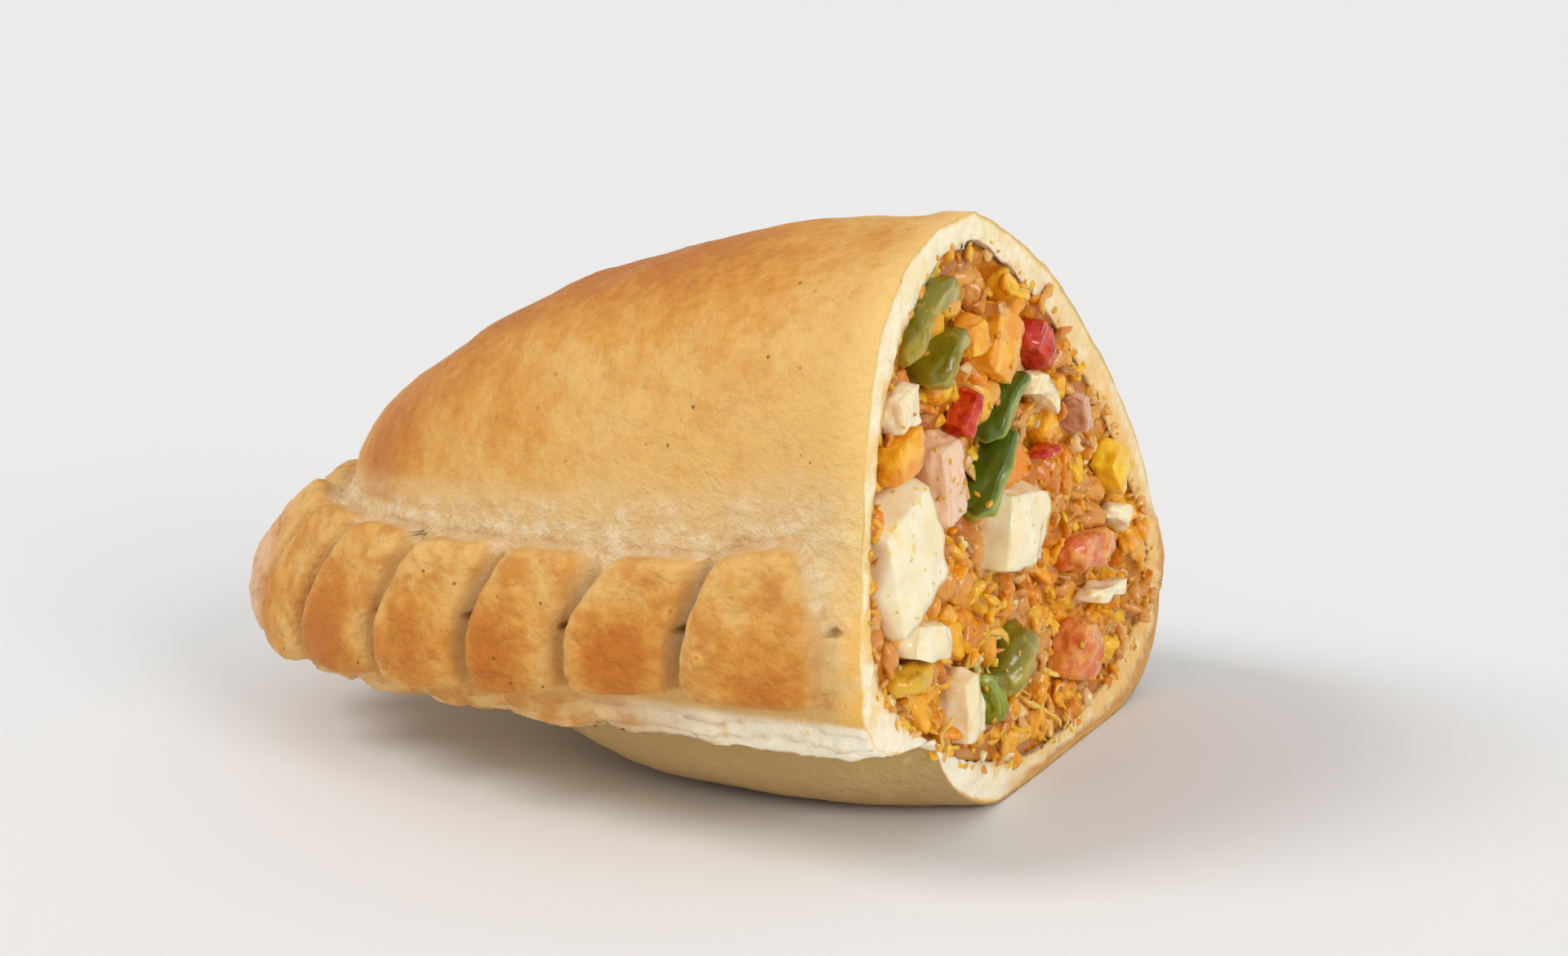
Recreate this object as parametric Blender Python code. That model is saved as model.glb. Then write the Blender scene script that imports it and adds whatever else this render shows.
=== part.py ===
"""Half of a baked empanada, cut straight across its middle.

A round of dough is folded over a chunky filling and sealed along the front by a row of crimps, which runs round
the blunt end and fades out on the back, where the fold is smooth. The cut face looks along +X and shows the
filling with its pieces of egg, pepper, onion, tomato and squash. The flat of the belly rests on Z = 0.
Lengths below are in millimetres, and places are measured from the cut plane until the last step.
"""
import math

import bmesh
import bpy
import numpy as np
from mathutils import Euler, Matrix, Vector, noise

MM = 0.001

# Driving sizes of the whole half, and the gap that touching solids keep
HALF_LENGTH = 60.6
FRONT_REACH = 25.5
BACK_REACH = 28.2
PLAN_CENTRE_Y = 2.0
PLAN_POWER = 2.6
HEIGHT = 42.0
ROOF_DOUGH = 1.8
FLOOR_DOUGH = 1.6
GAP = 0.3
POLE_GAPS = 3.2

# Middle of the whole box, which becomes the origin
FRAME_CENTRE_X = -29.409
FRAME_CENTRE_Y = 2.284

# Points under the roof and over the foot where all profiles meet, both on the cut plane
RIDGE_Y = -7.5
FOOT_Y = 6.0

# Values at even steps along the rim, from the front of the cut, round the blunt end, to the back of the cut
ROOF_POWER = (2.8, 2.45, 2.02, 1.68, 1.4, 1.2, 1.19, 1.26, 1.32)
SEAM_INSET = (0.5, 0.9, 2.8, 7.2, 12.2, 10.8, 5.5, 2.4, 3.4)
SEAM_Z = (23.6, 21.8, 20.4, 19.4, 18.8, 18.0, 16.8, 15.2, 15.0)
RIM_Z = (14.5, 13.5, 11.4, 9.0, 12.0, 13.4, 12.8, 11.0, 10.4)
UNDER_INSET = (11.5, 10.5, 13.0, 17.5, 18.5, 14.0, 6.5, 1.6, 0.9)
UNDER_Z = (8.0, 7.8, 7.2, 7.0, 8.5, 9.5, 8.5, 7.6, 7.2)
FOOT_FLAT = (0.36, 0.44, 0.56, 0.64, 0.66, 0.64, 0.6, 0.6, 0.6)
FOOT_POWER = (1.6, 2.05, 2.0, 1.55, 1.45, 1.55, 1.85, 2.1, 2.3)
LIP_DROP = (3.6, 3.4, 3.2, 3.0, 3.2, 3.0, 2.4, 1.8, 1.6)
CAVITY_INSET = (1.5, 3.0, 6.4, 11.0, 15.0, 13.6, 8.0, 4.6, 3.6)
CAVITY_Z = (17.5, 16.8, 15.6, 14.6, 14.2, 14.2, 13.2, 11.8, 10.6)
CAVITY_ROOF_POWER = (2.5, 2.3, 1.95, 1.6, 1.38, 1.2, 1.19, 1.25, 1.28)
CAVITY_FOOT_POWER = (1.6, 1.45, 1.3, 1.2, 1.3, 1.5, 1.9, 2.2, 2.4)

# The crimps: where each one's edges lie along the rim, halfway down, and how they lean and bulge
CRIMP_EDGES = (0.9, 11.1, 20.1, 28.7, 37.6, 47.0, 55.0, 62.5, 69.5, 76.5, 83.5, 90.0, 96.0)
CRIMP_RISE = 2.1
CRIMP_LEAN = 1.3
CRIMP_BULGE = 1.1
CRIMP_TAPER = 0.14
CRIMP_FADE = 22.0
CRIMP_TOP = 0.04
CRIMP_BOTTOM = 0.56
LIP_AT = 0.66
LIP_HALF = 0.05
LIP_RISE = 0.8

# The band under the crimps bulges past the rim at its middle and at the lip
BAND_SHOULDER = 0.45
BAND_BULGE = 0.9
LIP_BULGE = 0.6
LIP_DROPS = 1.7

# How finely the solids are cut into faces
CRIMP_COLUMNS = (0.0, 0.09, 0.24, 0.5, 0.76, 0.91)
BAND_ROWS = (0.0, 0.05, 0.09, 0.16, 0.27, 0.38, 0.47, 0.53, 0.58, 0.66, 0.73, 0.84, 1.0)
BACK_STEP = 3.6
ROOF_ROWS, BELLY_ROWS = 9, 5
CAVITY_COLUMNS, CAVITY_ROOF_ROWS, CAVITY_BELLY_ROWS = 26, 7, 5

# The cavity's cutter is drawn out past the cut plane by this much, over this length behind it
MOUTH_REACH = 6.0
MOUTH_START = 3.0

SHARP_ANGLE = math.radians(42.0)

# The filling's cut face lies this far behind the cut plane, and its cut pieces stand this far out of it
FACE_DEPTH = 1.0
FACE_STAND = 1.0

# The lumps of mince, which lie in rows over the cut face
LUMP_PITCH = 3.3
LUMP_RADIUS = 2.0
LUMP_MARGIN = 0.35
SEED = 7

# Colours and finishes as red, green, blue and roughness
FINISHES = {
    "baked_dough": (0.78, 0.52, 0.24, 0.62),
    "cooked_mince": (0.62, 0.36, 0.16, 0.55),
    "egg_white": (0.90, 0.84, 0.66, 0.40),
    "green_pepper": (0.22, 0.25, 0.03, 0.30),
    "green_leaf": (0.10, 0.22, 0.03, 0.35),
    "red_pepper": (0.75, 0.07, 0.04, 0.30),
    "tomato": (0.80, 0.25, 0.12, 0.35),
    "onion": (0.78, 0.50, 0.36, 0.35),
    "squash": (0.90, 0.42, 0.05, 0.45),
    "yellow_pepper": (0.95, 0.60, 0.03, 0.35),
}

# Pieces that show on the cut: finish, place across and up, width across, height, depth, turn in degrees, squareness
# and bend. A bent piece arches like a slice of pepper or a layer of onion.
PIECES = {
    "egg_white_wedge": ("egg_white", -16.5, 21.4, 7.6, 8.6, 4.4, 20, 0.62, 0.0),
    "egg_white_slice": ("egg_white", -13.6, 15.1, 6.4, 2.6, 3.6, -14, 0.55, 0.0),
    "egg_white_block": ("egg_white", 1.4, 19.1, 7.8, 6.0, 5.2, -10, 0.66, 0.0),
    "egg_white_low": ("egg_white", -7.2, 8.8, 3.2, 5.6, 3.4, 8, 0.5, 0.0),
    "egg_white_chip": ("egg_white", 19.4, 15.6, 4.2, 1.7, 2.2, -30, 0.3, 0.1),
    "egg_white_sliver": ("egg_white", 17.0, 10.6, 5.8, 1.2, 2.4, -4, 0.5, 0.0),
    "olive_pepper_fold": ("green_pepper", -13.2, 36.5, 7.6, 2.2, 4.6, 24, 0.45, 0.12),
    "olive_pepper_strip": ("green_pepper", -11.0, 33.2, 4.8, 1.7, 3.6, 40, 0.45, 0.1),
    "green_onion_upper": ("green_leaf", -1.5, 28.2, 6.2, 1.7, 3.2, 36, 0.5, 0.08),
    "green_onion_lower": ("green_leaf", -3.2, 24.0, 7.4, 1.6, 3.4, 44, 0.5, 0.0),
    "olive_bean": ("green_pepper", 1.8, 9.4, 6.2, 3.5, 4.2, 30, 0.12, 0.0),
    "green_pepper_wedge": ("green_leaf", -3.4, 8.3, 4.6, 1.7, 2.8, -62, 0.4, 0.1),
    "yellow_pepper_round": ("yellow_pepper", -15.6, 13.0, 4.6, 2.0, 3.2, 0, 0.15, 0.0),
    "yellow_pepper_flap": ("yellow_pepper", 18.3, 19.6, 4.2, 3.2, 2.6, -50, 0.5, 0.0),
    "red_pepper_upper": ("red_pepper", 4.0, 31.3, 4.4, 2.8, 3.0, -35, 0.4, 0.0),
    "red_pepper_middle": ("red_pepper", -8.2, 29.0, 3.4, 1.7, 2.6, 52, 0.4, 0.0),
    "red_pepper_chip": ("red_pepper", 4.8, 23.7, 3.0, 0.9, 2.0, 2, 0.2, 0.0),
    "tomato_piece": ("tomato", 14.4, 14.2, 7.2, 3.1, 3.0, -8, 0.45, 0.0),
    "tomato_slab": ("tomato", 13.4, 6.9, 4.2, 4.6, 3.2, -18, 0.5, 0.0),
    "onion_layer": ("onion", -11.2, 25.2, 3.6, 6.4, 2.8, 14, 0.5, 0.0),
    "onion_strip": ("onion", 4.0, 28.0, 5.6, 1.8, 2.8, -28, 0.45, 0.08),
    "onion_purple": ("onion", 11.2, 25.2, 1.6, 3.4, 2.6, 20, 0.4, 0.0),
    "onion_chip": ("onion", -18.0, 31.2, 3.0, 3.0, 2.4, 12, 0.5, 0.0),
    "squash_block": ("squash", -3.2, 32.5, 5.0, 4.6, 4.4, -30, 0.72, 0.0),
    "squash_left": ("squash", -17.6, 28.2, 3.8, 3.2, 3.2, 16, 0.55, 0.0),
    "squash_mid": ("squash", -7.7, 33.9, 2.6, 2.6, 2.6, 8, 0.5, 0.0),
}


def clear_scene():
    for obj in list(bpy.data.objects):
        bpy.data.objects.remove(obj)


def finish_material(object_name, finish):
    red, green, blue, roughness = FINISHES[finish]
    material = bpy.data.materials.new(f"{object_name}_{finish}")
    material.use_nodes = True
    shader = material.node_tree.nodes["Principled BSDF"]
    shader.inputs["Base Color"].default_value = (red, green, blue, 1.0)
    shader.inputs["Roughness"].default_value = roughness
    return material


def along_rim(share, values):
    """A smooth curve through evenly spaced values, read at a share from 0 to 1 of the way round the rim."""
    last = len(values) - 1
    place = np.clip(np.asarray(share, float), 0.0, 1.0) * last
    left = np.minimum(place.astype(int), last - 1)
    t = place - left
    padded = np.concatenate([[2 * values[0] - values[1]], values, [2 * values[-1] - values[-2]]])
    a, b, c, d = (padded[left + i] for i in range(4))
    return b + 0.5 * t * (c - a + t * (2 * a - 5 * b + 4 * c - d + t * (3 * (b - c) + d - a)))


def rim_table():
    """Dense points of the superellipse rim in plan, with the length along it."""
    turn = np.linspace(0.0, math.pi, 4001)
    sine, cosine = np.abs(np.sin(turn)), np.cos(turn)
    reach = np.where(cosine > 0, FRONT_REACH, BACK_REACH)
    x = -HALF_LENGTH * sine ** (2 / PLAN_POWER)
    y = PLAN_CENTRE_Y - reach * np.sign(cosine) * np.abs(cosine) ** (2 / PLAN_POWER)
    x[0] = x[-1] = 0.0
    length = np.concatenate([[0.0], np.cumsum(np.hypot(np.diff(x), np.diff(y)))])
    return x, y, length


RIM_X, RIM_Y, RIM_S = rim_table()
RIM_LENGTH = float(RIM_S[-1])


def inset_rim(s, inset):
    """Plan points on the rim at lengths s along it, drawn in towards the middle of the cut by inset."""
    x, y = np.interp(s, RIM_S, RIM_X), np.interp(s, RIM_S, RIM_Y)
    keep = 1.0 - inset / np.hypot(x, y - PLAN_CENTRE_Y)
    return x * keep, PLAN_CENTRE_Y + (y - PLAN_CENTRE_Y) * keep


def vault(s, rows, pole_y, pole_z, inset, edge_z, power):
    """Rows of points from a pole on the cut plane out to an inset rim, each profile a superellipse quarter."""
    edge_x, edge_y = inset_rim(s, inset)
    turn = np.linspace(0.0, math.pi / 2, rows + 1)[:, None]
    out = np.sin(turn) ** (2 / power)
    rise = np.abs(np.cos(turn)) ** (2 / power)
    rise[-1] = 0.0
    return np.stack([out * edge_x, pole_y + out * (edge_y - pole_y), edge_z + (pole_z - edge_z) * rise], axis=-1)


def flat_foot(s):
    """Rows of the underside: a foot that lies flat on the ground, then a rounded edge up to the end of the band."""
    share = s / RIM_LENGTH
    flat, power = along_rim(share, FOOT_FLAT), along_rim(share, FOOT_POWER)
    edge_x, edge_y = inset_rim(s, along_rim(share, UNDER_INSET))
    turn = np.linspace(0.0, math.pi / 2, BELLY_ROWS)[:, None]
    fall = np.abs(np.cos(turn)) ** (2 / power)
    fall[-1] = 0.0
    out = np.concatenate([0.0 * flat[None, :], flat + (1.0 - flat) * np.sin(turn) ** (2 / power)])
    rise = np.concatenate([0.0 * flat[None, :], 1.0 - fall])
    return np.stack([out * edge_x, FOOT_Y + out * (edge_y - FOOT_Y), along_rim(share, UNDER_Z) * rise], axis=-1)


def crimp_down(v):
    """Place down a crimp, from -1 at its top edge to 1 at its bottom edge."""
    return (2 * v - CRIMP_TOP - CRIMP_BOTTOM) / (CRIMP_BOTTOM - CRIMP_TOP)


def leaning(s, v):
    """Lengths along the rim with the crimps' lean and bulge added, which fade out at both ends of the row."""
    down = np.clip(crimp_down(v), -1.1, 1.5)
    ends = np.clip(s / 6.0, 0.0, 1.0) * np.clip((CRIMP_EDGES[-1] - s) / CRIMP_FADE, 0.0, 1.0)
    within = np.sin(math.pi * np.clip(v / 0.9, 0.0, 1.0)) ** 0.3
    return s + ends * within * (CRIMP_LEAN * down + CRIMP_BULGE * np.clip(1.0 - down**2, 0.0, 1.0))


def band_profile(s, v):
    """Points from the seam at the roof's edge, out over the crimp's rim and in under it to the belly."""
    share = s / RIM_LENGTH
    seam, under = along_rim(share, SEAM_INSET), along_rim(share, UNDER_INSET)
    seam_z, rim_z, under_z = (along_rim(share, values) for values in (SEAM_Z, RIM_Z, UNDER_Z))
    drop = along_rim(share, LIP_DROP)
    controls = (
        (seam, seam_z),
        (BAND_SHOULDER * seam, 0.5 * (seam_z + rim_z)),
        (-BAND_BULGE, rim_z),
        (-LIP_BULGE, rim_z - LIP_DROPS * drop),
        (BAND_SHOULDER * under, under_z + 0.1 * drop),
        (under, under_z),
    )
    degree = len(controls) - 1
    weights = [math.comb(degree, i) * v**i * (1 - v) ** (degree - i) for i in range(degree + 1)]
    inset = sum(weight * control[0] for weight, control in zip(weights, controls))
    z = sum(weight * control[1] for weight, control in zip(weights, controls))
    x, y = inset_rim(s, inset)
    return np.stack([x, y, z], axis=-1)


def crimp_relief(s, v):
    """How far the crimps and the lip under them stand out, at unleaned length s and share v down the band."""
    down = crimp_down(v)
    relief = np.zeros(np.broadcast(s, v).shape)
    for i, (start, end) in enumerate(zip(CRIMP_EDGES, CRIMP_EDGES[1:])):
        middle, half = 0.5 * (start + end), 0.5 * (end - start)
        across = (s - middle) / (half * (1.0 - CRIMP_TAPER * np.clip(-down, 0, 1)))
        pad = np.clip(1.0 - np.abs(across) ** 4 - np.abs(down) ** 4, 0.0, 1.0) ** 0.5
        fade = min(1.0, (CRIMP_EDGES[-1] - middle) / CRIMP_FADE)
        height = CRIMP_RISE * fade * (1.0 + 0.1 * math.sin(2.3 * i + 0.7))
        relief = np.maximum(relief, height * pad * (1.0 + 0.16 * np.clip(across, -1, 1)))
    fade = np.clip((CRIMP_EDGES[-1] - s) / CRIMP_FADE, 0.0, 1.0)
    lip = LIP_RISE * np.exp(-(((v - LIP_AT) / LIP_HALF) ** 2)) * (1.0 + 0.5 * np.sin(0.9 * s) * np.sin(0.37 * s))
    return relief + lip * fade


def grid_normals(grid):
    along = np.gradient(grid, axis=1)
    down = np.gradient(grid, axis=0)
    normal = np.cross(along, down)
    return normal / np.maximum(np.linalg.norm(normal, axis=-1, keepdims=True), 1e-9)


def crust_columns():
    """Lengths along the rim of the crust's columns, close together at the crimps' edges."""
    lengths = [0.0]
    for start, end in zip(CRIMP_EDGES, CRIMP_EDGES[1:]):
        lengths += [start + q * (end - start) for q in CRIMP_COLUMNS]
    last = CRIMP_EDGES[-1]
    return np.concatenate([lengths, np.linspace(last, RIM_LENGTH, int((RIM_LENGTH - last) / BACK_STEP) + 1)])


def crust_grid():
    """All rows of the crust's outside, from the roof's pole to the foot's pole."""
    s = crust_columns()
    share = s / RIM_LENGTH
    seam = along_rim(share, SEAM_INSET)
    roof = vault(s, ROOF_ROWS, RIDGE_Y, HEIGHT, seam, along_rim(share, SEAM_Z), along_rim(share, ROOF_POWER))
    v = np.array(BAND_ROWS)[:, None]
    band = band_profile(leaning(s[None, :], v), v)
    outward = grid_normals(band) * crimp_relief(s[None, :], v)[..., None]
    outward[:, (0, -1), 0] = 0.0
    outward[(0, -1), :, :] = 0.0
    band = band + outward
    return np.concatenate([roof[:-1], band, flat_foot(s)[-2::-1]])


def cavity_grid(clearance, columns, cut_x):
    """The room inside the dough, drawn in by a clearance and with its open end moved to cut_x."""
    s = np.linspace(0.0, RIM_LENGTH, columns)
    share = s / RIM_LENGTH
    inset = along_rim(share, CAVITY_INSET) + clearance
    edge_z = along_rim(share, CAVITY_Z)
    roof_power = along_rim(share, CAVITY_ROOF_POWER)
    foot_power = along_rim(share, CAVITY_FOOT_POWER)
    top_z = HEIGHT - ROOF_DOUGH - POLE_GAPS * clearance
    foot_z = FLOOR_DOUGH + POLE_GAPS * clearance
    roof = vault(s, CAVITY_ROOF_ROWS, RIDGE_Y, top_z, inset, edge_z, roof_power)
    floor = vault(s, CAVITY_BELLY_ROWS, FOOT_Y, foot_z, inset, edge_z, foot_power)
    grid = np.concatenate([roof, floor[-2::-1]])
    grid[..., 0] = np.minimum(grid[..., 0], cut_x)
    return grid


def loft(name, grid, finish, collection):
    """A closed solid from rows that start and end at a pole, with a flat cap over its cut end."""
    rows, columns = grid.shape[:2]
    shift = np.array([FRAME_CENTRE_X, FRAME_CENTRE_Y, 0.0])
    mesh = bmesh.new()
    top = mesh.verts.new(Vector((grid[0, 0] - shift) * MM))
    bottom = mesh.verts.new(Vector((grid[-1, 0] - shift) * MM))
    rings = [[mesh.verts.new(Vector((p - shift) * MM)) for p in row] for row in grid[1:-1]]
    for i in range(columns - 1):
        mesh.faces.new((top, rings[0][i + 1], rings[0][i]))
        mesh.faces.new((bottom, rings[-1][i], rings[-1][i + 1]))
        for upper, lower in zip(rings, rings[1:]):
            mesh.faces.new((upper[i], upper[i + 1], lower[i + 1], lower[i]))
    front_edge = [ring[0] for ring in rings]
    back_edge = [ring[-1] for ring in reversed(rings)]
    mesh.faces.new([top] + front_edge + [bottom] + back_edge)
    bmesh.ops.recalc_face_normals(mesh, faces=mesh.faces)
    bmesh.ops.triangulate(mesh, faces=mesh.faces)
    return mesh_object(name, mesh, finish, collection)


def mesh_object(name, mesh, finish, collection):
    data = bpy.data.meshes.new(name)
    mesh.to_mesh(data)
    mesh.free()
    data.materials.append(finish_material(name, finish))
    data.shade_smooth()
    data.set_sharp_from_angle(angle=SHARP_ANGLE)
    obj = bpy.data.objects.new(name, data)
    collection.objects.link(obj)
    return obj


def as_cutter(obj):
    obj.hide_render = True
    obj.display_type = "WIRE"
    return obj


def boolean(obj, name, operation, collection):
    modifier = obj.modifiers.new(name, "BOOLEAN")
    modifier.operation = operation
    modifier.solver = "EXACT"
    modifier.operand_type = "COLLECTION"
    modifier.collection = collection


def bake(obj):
    """Replaces the object's mesh by what its modifiers make of it."""
    bpy.context.view_layer.update()
    made = bpy.data.meshes.new_from_object(obj.evaluated_get(bpy.context.evaluated_depsgraph_get()))
    obj.modifiers.clear()
    obj.data = made


def piece_points(size, squareness, bend, cuts, seed, swell):
    """A block between a ball and a box, uneven and bent as cut food is, and its faces, in a scratch bmesh."""
    mesh = bmesh.new()
    bmesh.ops.create_cube(mesh, size=2.0)
    bmesh.ops.subdivide_edges(mesh, edges=mesh.edges, cuts=cuts, use_grid_fill=True)
    for vert in mesh.verts:
        ball = vert.co.normalized()
        shape = ball.lerp(vert.co, squareness)
        uneven = noise.noise(ball * 1.1 + Vector((seed * 3.7, 0.0, 0.0)))
        shape *= 1.0 + 0.16 * uneven
        depth, across, up = (0.5 * shape[i] * size[i] + swell * ball[i] for i in range(3))
        up += bend * (0.25 * size[1] ** 2 * 0.5 - across * across)
        vert.co = Vector((depth, across, up))
    return mesh


def cut_piece(name, object_name, seed, collection, swell=0.0):
    """One piece of egg or vegetable, set into the cut face. A swollen copy is its pocket."""
    finish, y, z, width, height, depth, turn, squareness, bend = PIECES[name]
    cuts = 2 if width * height > 20.0 else 1
    mesh = piece_points((depth, width, height), squareness, bend, cuts, seed, swell)
    place = Vector((FACE_STAND - 0.5 * depth - FRAME_CENTRE_X, y - FRAME_CENTRE_Y, z))
    mesh.transform(Matrix.Translation(place) @ Euler((math.radians(turn), 0.0, 0.0)).to_matrix().to_4x4())
    mesh.transform(Matrix.Scale(MM, 4))
    bmesh.ops.triangulate(mesh, faces=mesh.faces)
    return mesh_object(object_name, mesh, finish, collection)


def face_outline():
    """The filling's edge on the cut face as across and up points."""
    grid = cavity_grid(GAP, CAVITY_COLUMNS, 0.0)
    return np.concatenate([grid[:, 0, 1:], grid[-2:0:-1, -1, 1:]])


def room_at(outline, point):
    """Distance from a point to the outline, negative outside it."""
    start, end = outline, np.roll(outline, -1, axis=0)
    edge, to_point = end - start, point - start
    t = np.clip((edge * to_point).sum(1) / np.maximum((edge * edge).sum(1), 1e-12), 0.0, 1.0)
    distance = np.hypot(*(to_point - edge * t[:, None]).T).min()
    crosses = (start[:, 1] > point[1]) != (end[:, 1] > point[1])
    meets = start[:, 0] + (point[1] - start[:, 1]) / np.where(crosses, edge[:, 1], 1.0) * edge[:, 0]
    inside = (crosses & (point[0] < meets)).sum() % 2 == 1
    return distance if inside else -distance


def room_at_pieces(point):
    """Distance from a point on the cut face to the nearest cut piece, each taken as a turned ellipse."""
    nearest = math.inf
    for finish, y, z, width, height, *rest in PIECES.values():
        turn = math.radians(rest[1])
        dy, dz = point[0] - y, point[1] - z
        across = math.cos(turn) * dy + math.sin(turn) * dz
        up = math.cos(turn) * dz - math.sin(turn) * dy
        size = math.hypot(across / (0.5 * width), up / (0.5 * height))
        reach = math.hypot(across, up)
        nearest = min(nearest, reach - reach / max(size, 1e-6))
    return nearest


def mince_lumps(collection):
    """Lumps of mince in offset rows over the cut face, kept clear of the dough and of the cut pieces."""
    outline = face_outline()
    low, high = outline.min(axis=0), outline.max(axis=0)
    rng = np.random.default_rng(SEED)
    row_pitch = LUMP_PITCH * math.sqrt(3) / 2
    for row in range(int((high[1] - low[1]) / row_pitch) + 1):
        for column in range(int((high[0] - low[0]) / LUMP_PITCH) + 1):
            y = low[0] + LUMP_PITCH * (column + 0.5 * (row % 2)) + rng.uniform(-0.5, 0.5)
            z = low[1] + row_pitch * row + rng.uniform(-0.5, 0.5)
            radius = LUMP_RADIUS * rng.uniform(0.72, 1.0)
            flatness, spin = rng.uniform(0.72, 1.0), rng.uniform(0.0, math.pi)
            wall, clear = room_at(outline, np.array((y, z))), room_at_pieces((y, z))
            radius = min(radius, wall - LUMP_MARGIN, clear - LUMP_MARGIN)
            if radius < 0.45 * LUMP_RADIUS:
                continue
            mesh = bmesh.new()
            bmesh.ops.create_icosphere(mesh, subdivisions=2 if radius > 0.8 * LUMP_RADIUS else 1, radius=1.0)
            for vert in mesh.verts:
                vert.co *= 0.92 + 0.2 * noise.noise(vert.co * 1.4 + Vector((y, z, 0.0)))
            size = Matrix.Diagonal((radius, radius, radius * flatness, 1.0))
            turn = Matrix.Rotation(spin, 4, "X")
            place = Matrix.Translation((-FACE_DEPTH - FRAME_CENTRE_X, y - FRAME_CENTRE_Y, z))
            mesh.transform(Matrix.Scale(MM, 4) @ place @ turn @ size)
            mesh_object(f"lump_{row}_{column}", mesh, "cooked_mince", collection)


def new_collection(name):
    collection = bpy.data.collections.new(name)
    bpy.context.scene.collection.children.link(collection)
    return collection


def build_crust(parts, room):
    crust = loft("crust", crust_grid(), "baked_dough", parts)
    mouth = cavity_grid(0.0, CAVITY_COLUMNS, 0.0)
    mouth[..., 0] += MOUTH_REACH * np.clip(1.0 + mouth[..., 0] / MOUTH_START, 0.0, 1.0)
    as_cutter(loft("cavity", mouth, "baked_dough", room))
    boolean(crust, "hollow", "DIFFERENCE", room)


def build_filling(parts, lumps, pockets):
    filling = loft("filling", cavity_grid(GAP, CAVITY_COLUMNS, -FACE_DEPTH), "cooked_mince", parts)
    mince_lumps(lumps)
    boolean(filling, "lumps", "UNION", lumps)
    bake(filling)
    for lump in list(lumps.objects):
        bpy.data.objects.remove(lump)
    for seed, name in enumerate(PIECES):
        as_cutter(cut_piece(name, f"{name}_pocket", seed, pockets, swell=GAP))
    boolean(filling, "pockets", "DIFFERENCE", pockets)


def main():
    clear_scene()
    parts = new_collection("empanada_half")
    room = new_collection("room_for_the_filling")
    lumps = new_collection("mince_lumps")
    pockets = new_collection("pockets_for_the_pieces")
    build_crust(parts, room)
    build_filling(parts, lumps, pockets)
    for seed, name in enumerate(PIECES):
        cut_piece(name, name, seed, parts)


main()
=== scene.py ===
"""Looks of the half empanada: a browned, crimped crust, its pale cut rim, and the chunky filling at the cut.

Lengths are in millimetres from the cut plane, as in the part's source, until a mesh is made.
"""

import math

import bmesh
import bpy
import numpy as np
from mathutils import Euler, Matrix, Vector, noise

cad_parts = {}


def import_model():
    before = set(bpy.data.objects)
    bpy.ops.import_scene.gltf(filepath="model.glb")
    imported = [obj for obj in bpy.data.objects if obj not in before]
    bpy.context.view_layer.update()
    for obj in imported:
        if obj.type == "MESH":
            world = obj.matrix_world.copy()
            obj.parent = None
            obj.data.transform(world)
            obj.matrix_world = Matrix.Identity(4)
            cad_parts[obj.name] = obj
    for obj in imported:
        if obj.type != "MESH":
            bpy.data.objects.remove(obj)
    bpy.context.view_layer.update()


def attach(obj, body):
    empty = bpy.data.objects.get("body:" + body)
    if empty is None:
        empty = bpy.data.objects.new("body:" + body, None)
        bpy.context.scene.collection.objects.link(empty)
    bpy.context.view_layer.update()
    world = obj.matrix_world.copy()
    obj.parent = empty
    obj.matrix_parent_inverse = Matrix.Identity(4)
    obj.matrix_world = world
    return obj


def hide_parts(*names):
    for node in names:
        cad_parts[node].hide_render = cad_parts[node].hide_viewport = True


MM = 0.001
QUARTER = 0.5 * math.pi
FULL = 2 * math.pi
FRAME_CENTRE = np.array([-29.409, 2.284, 0.0])

# The space the part takes up, and how far inside it the cut pieces stay
BOX_LOW = np.array([-59.97, -25.71, 0.0])
BOX_HIGH = np.array([1.14, 30.28, 42.0])
BOX_SPARE = 0.02

# The crust's form, the same values as in the part's source
HALF_LENGTH = 60.6
FRONT_REACH = 25.5
BACK_REACH = 28.2
PLAN_CENTRE_Y = 2.0
PLAN_POWER = 2.6
HEIGHT = 42.0
ROOF_DOUGH = 1.8
FLOOR_DOUGH = 1.6
GAP = 0.3
RIDGE_Y = -7.5
FOOT_Y = 6.0
ROOF_POWER = (2.8, 2.45, 2.02, 1.68, 1.4, 1.2, 1.19, 1.26, 1.32)
SEAM_INSET = (0.5, 0.9, 2.8, 7.2, 12.2, 10.8, 5.5, 2.4, 3.4)
SEAM_Z = (23.6, 21.8, 20.4, 19.4, 18.8, 18.0, 16.8, 15.2, 15.0)
RIM_Z = (14.5, 13.5, 11.4, 9.0, 12.0, 13.4, 12.8, 11.0, 10.4)
UNDER_INSET = (11.5, 10.5, 13.0, 17.5, 18.5, 14.0, 6.5, 1.6, 0.9)
UNDER_Z = (8.0, 7.8, 7.2, 7.0, 8.5, 9.5, 8.5, 7.6, 7.2)
FOOT_FLAT = (0.36, 0.44, 0.56, 0.64, 0.66, 0.64, 0.6, 0.6, 0.6)
FOOT_POWER = (1.6, 2.05, 2.0, 1.55, 1.45, 1.55, 1.85, 2.1, 2.3)
LIP_DROP = (3.6, 3.4, 3.2, 3.0, 3.2, 3.0, 2.4, 1.8, 1.6)
CAVITY_INSET = (1.5, 3.0, 6.4, 11.0, 15.0, 13.6, 8.0, 4.6, 3.6)
CAVITY_Z = (17.5, 16.8, 15.6, 14.6, 14.2, 14.2, 13.2, 11.8, 10.6)
CAVITY_ROOF_POWER = (2.5, 2.3, 1.95, 1.6, 1.38, 1.2, 1.19, 1.25, 1.28)
CAVITY_FOOT_POWER = (1.6, 1.45, 1.3, 1.2, 1.3, 1.5, 1.9, 2.2, 2.4)
CRIMP_RISE = 2.1
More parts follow.
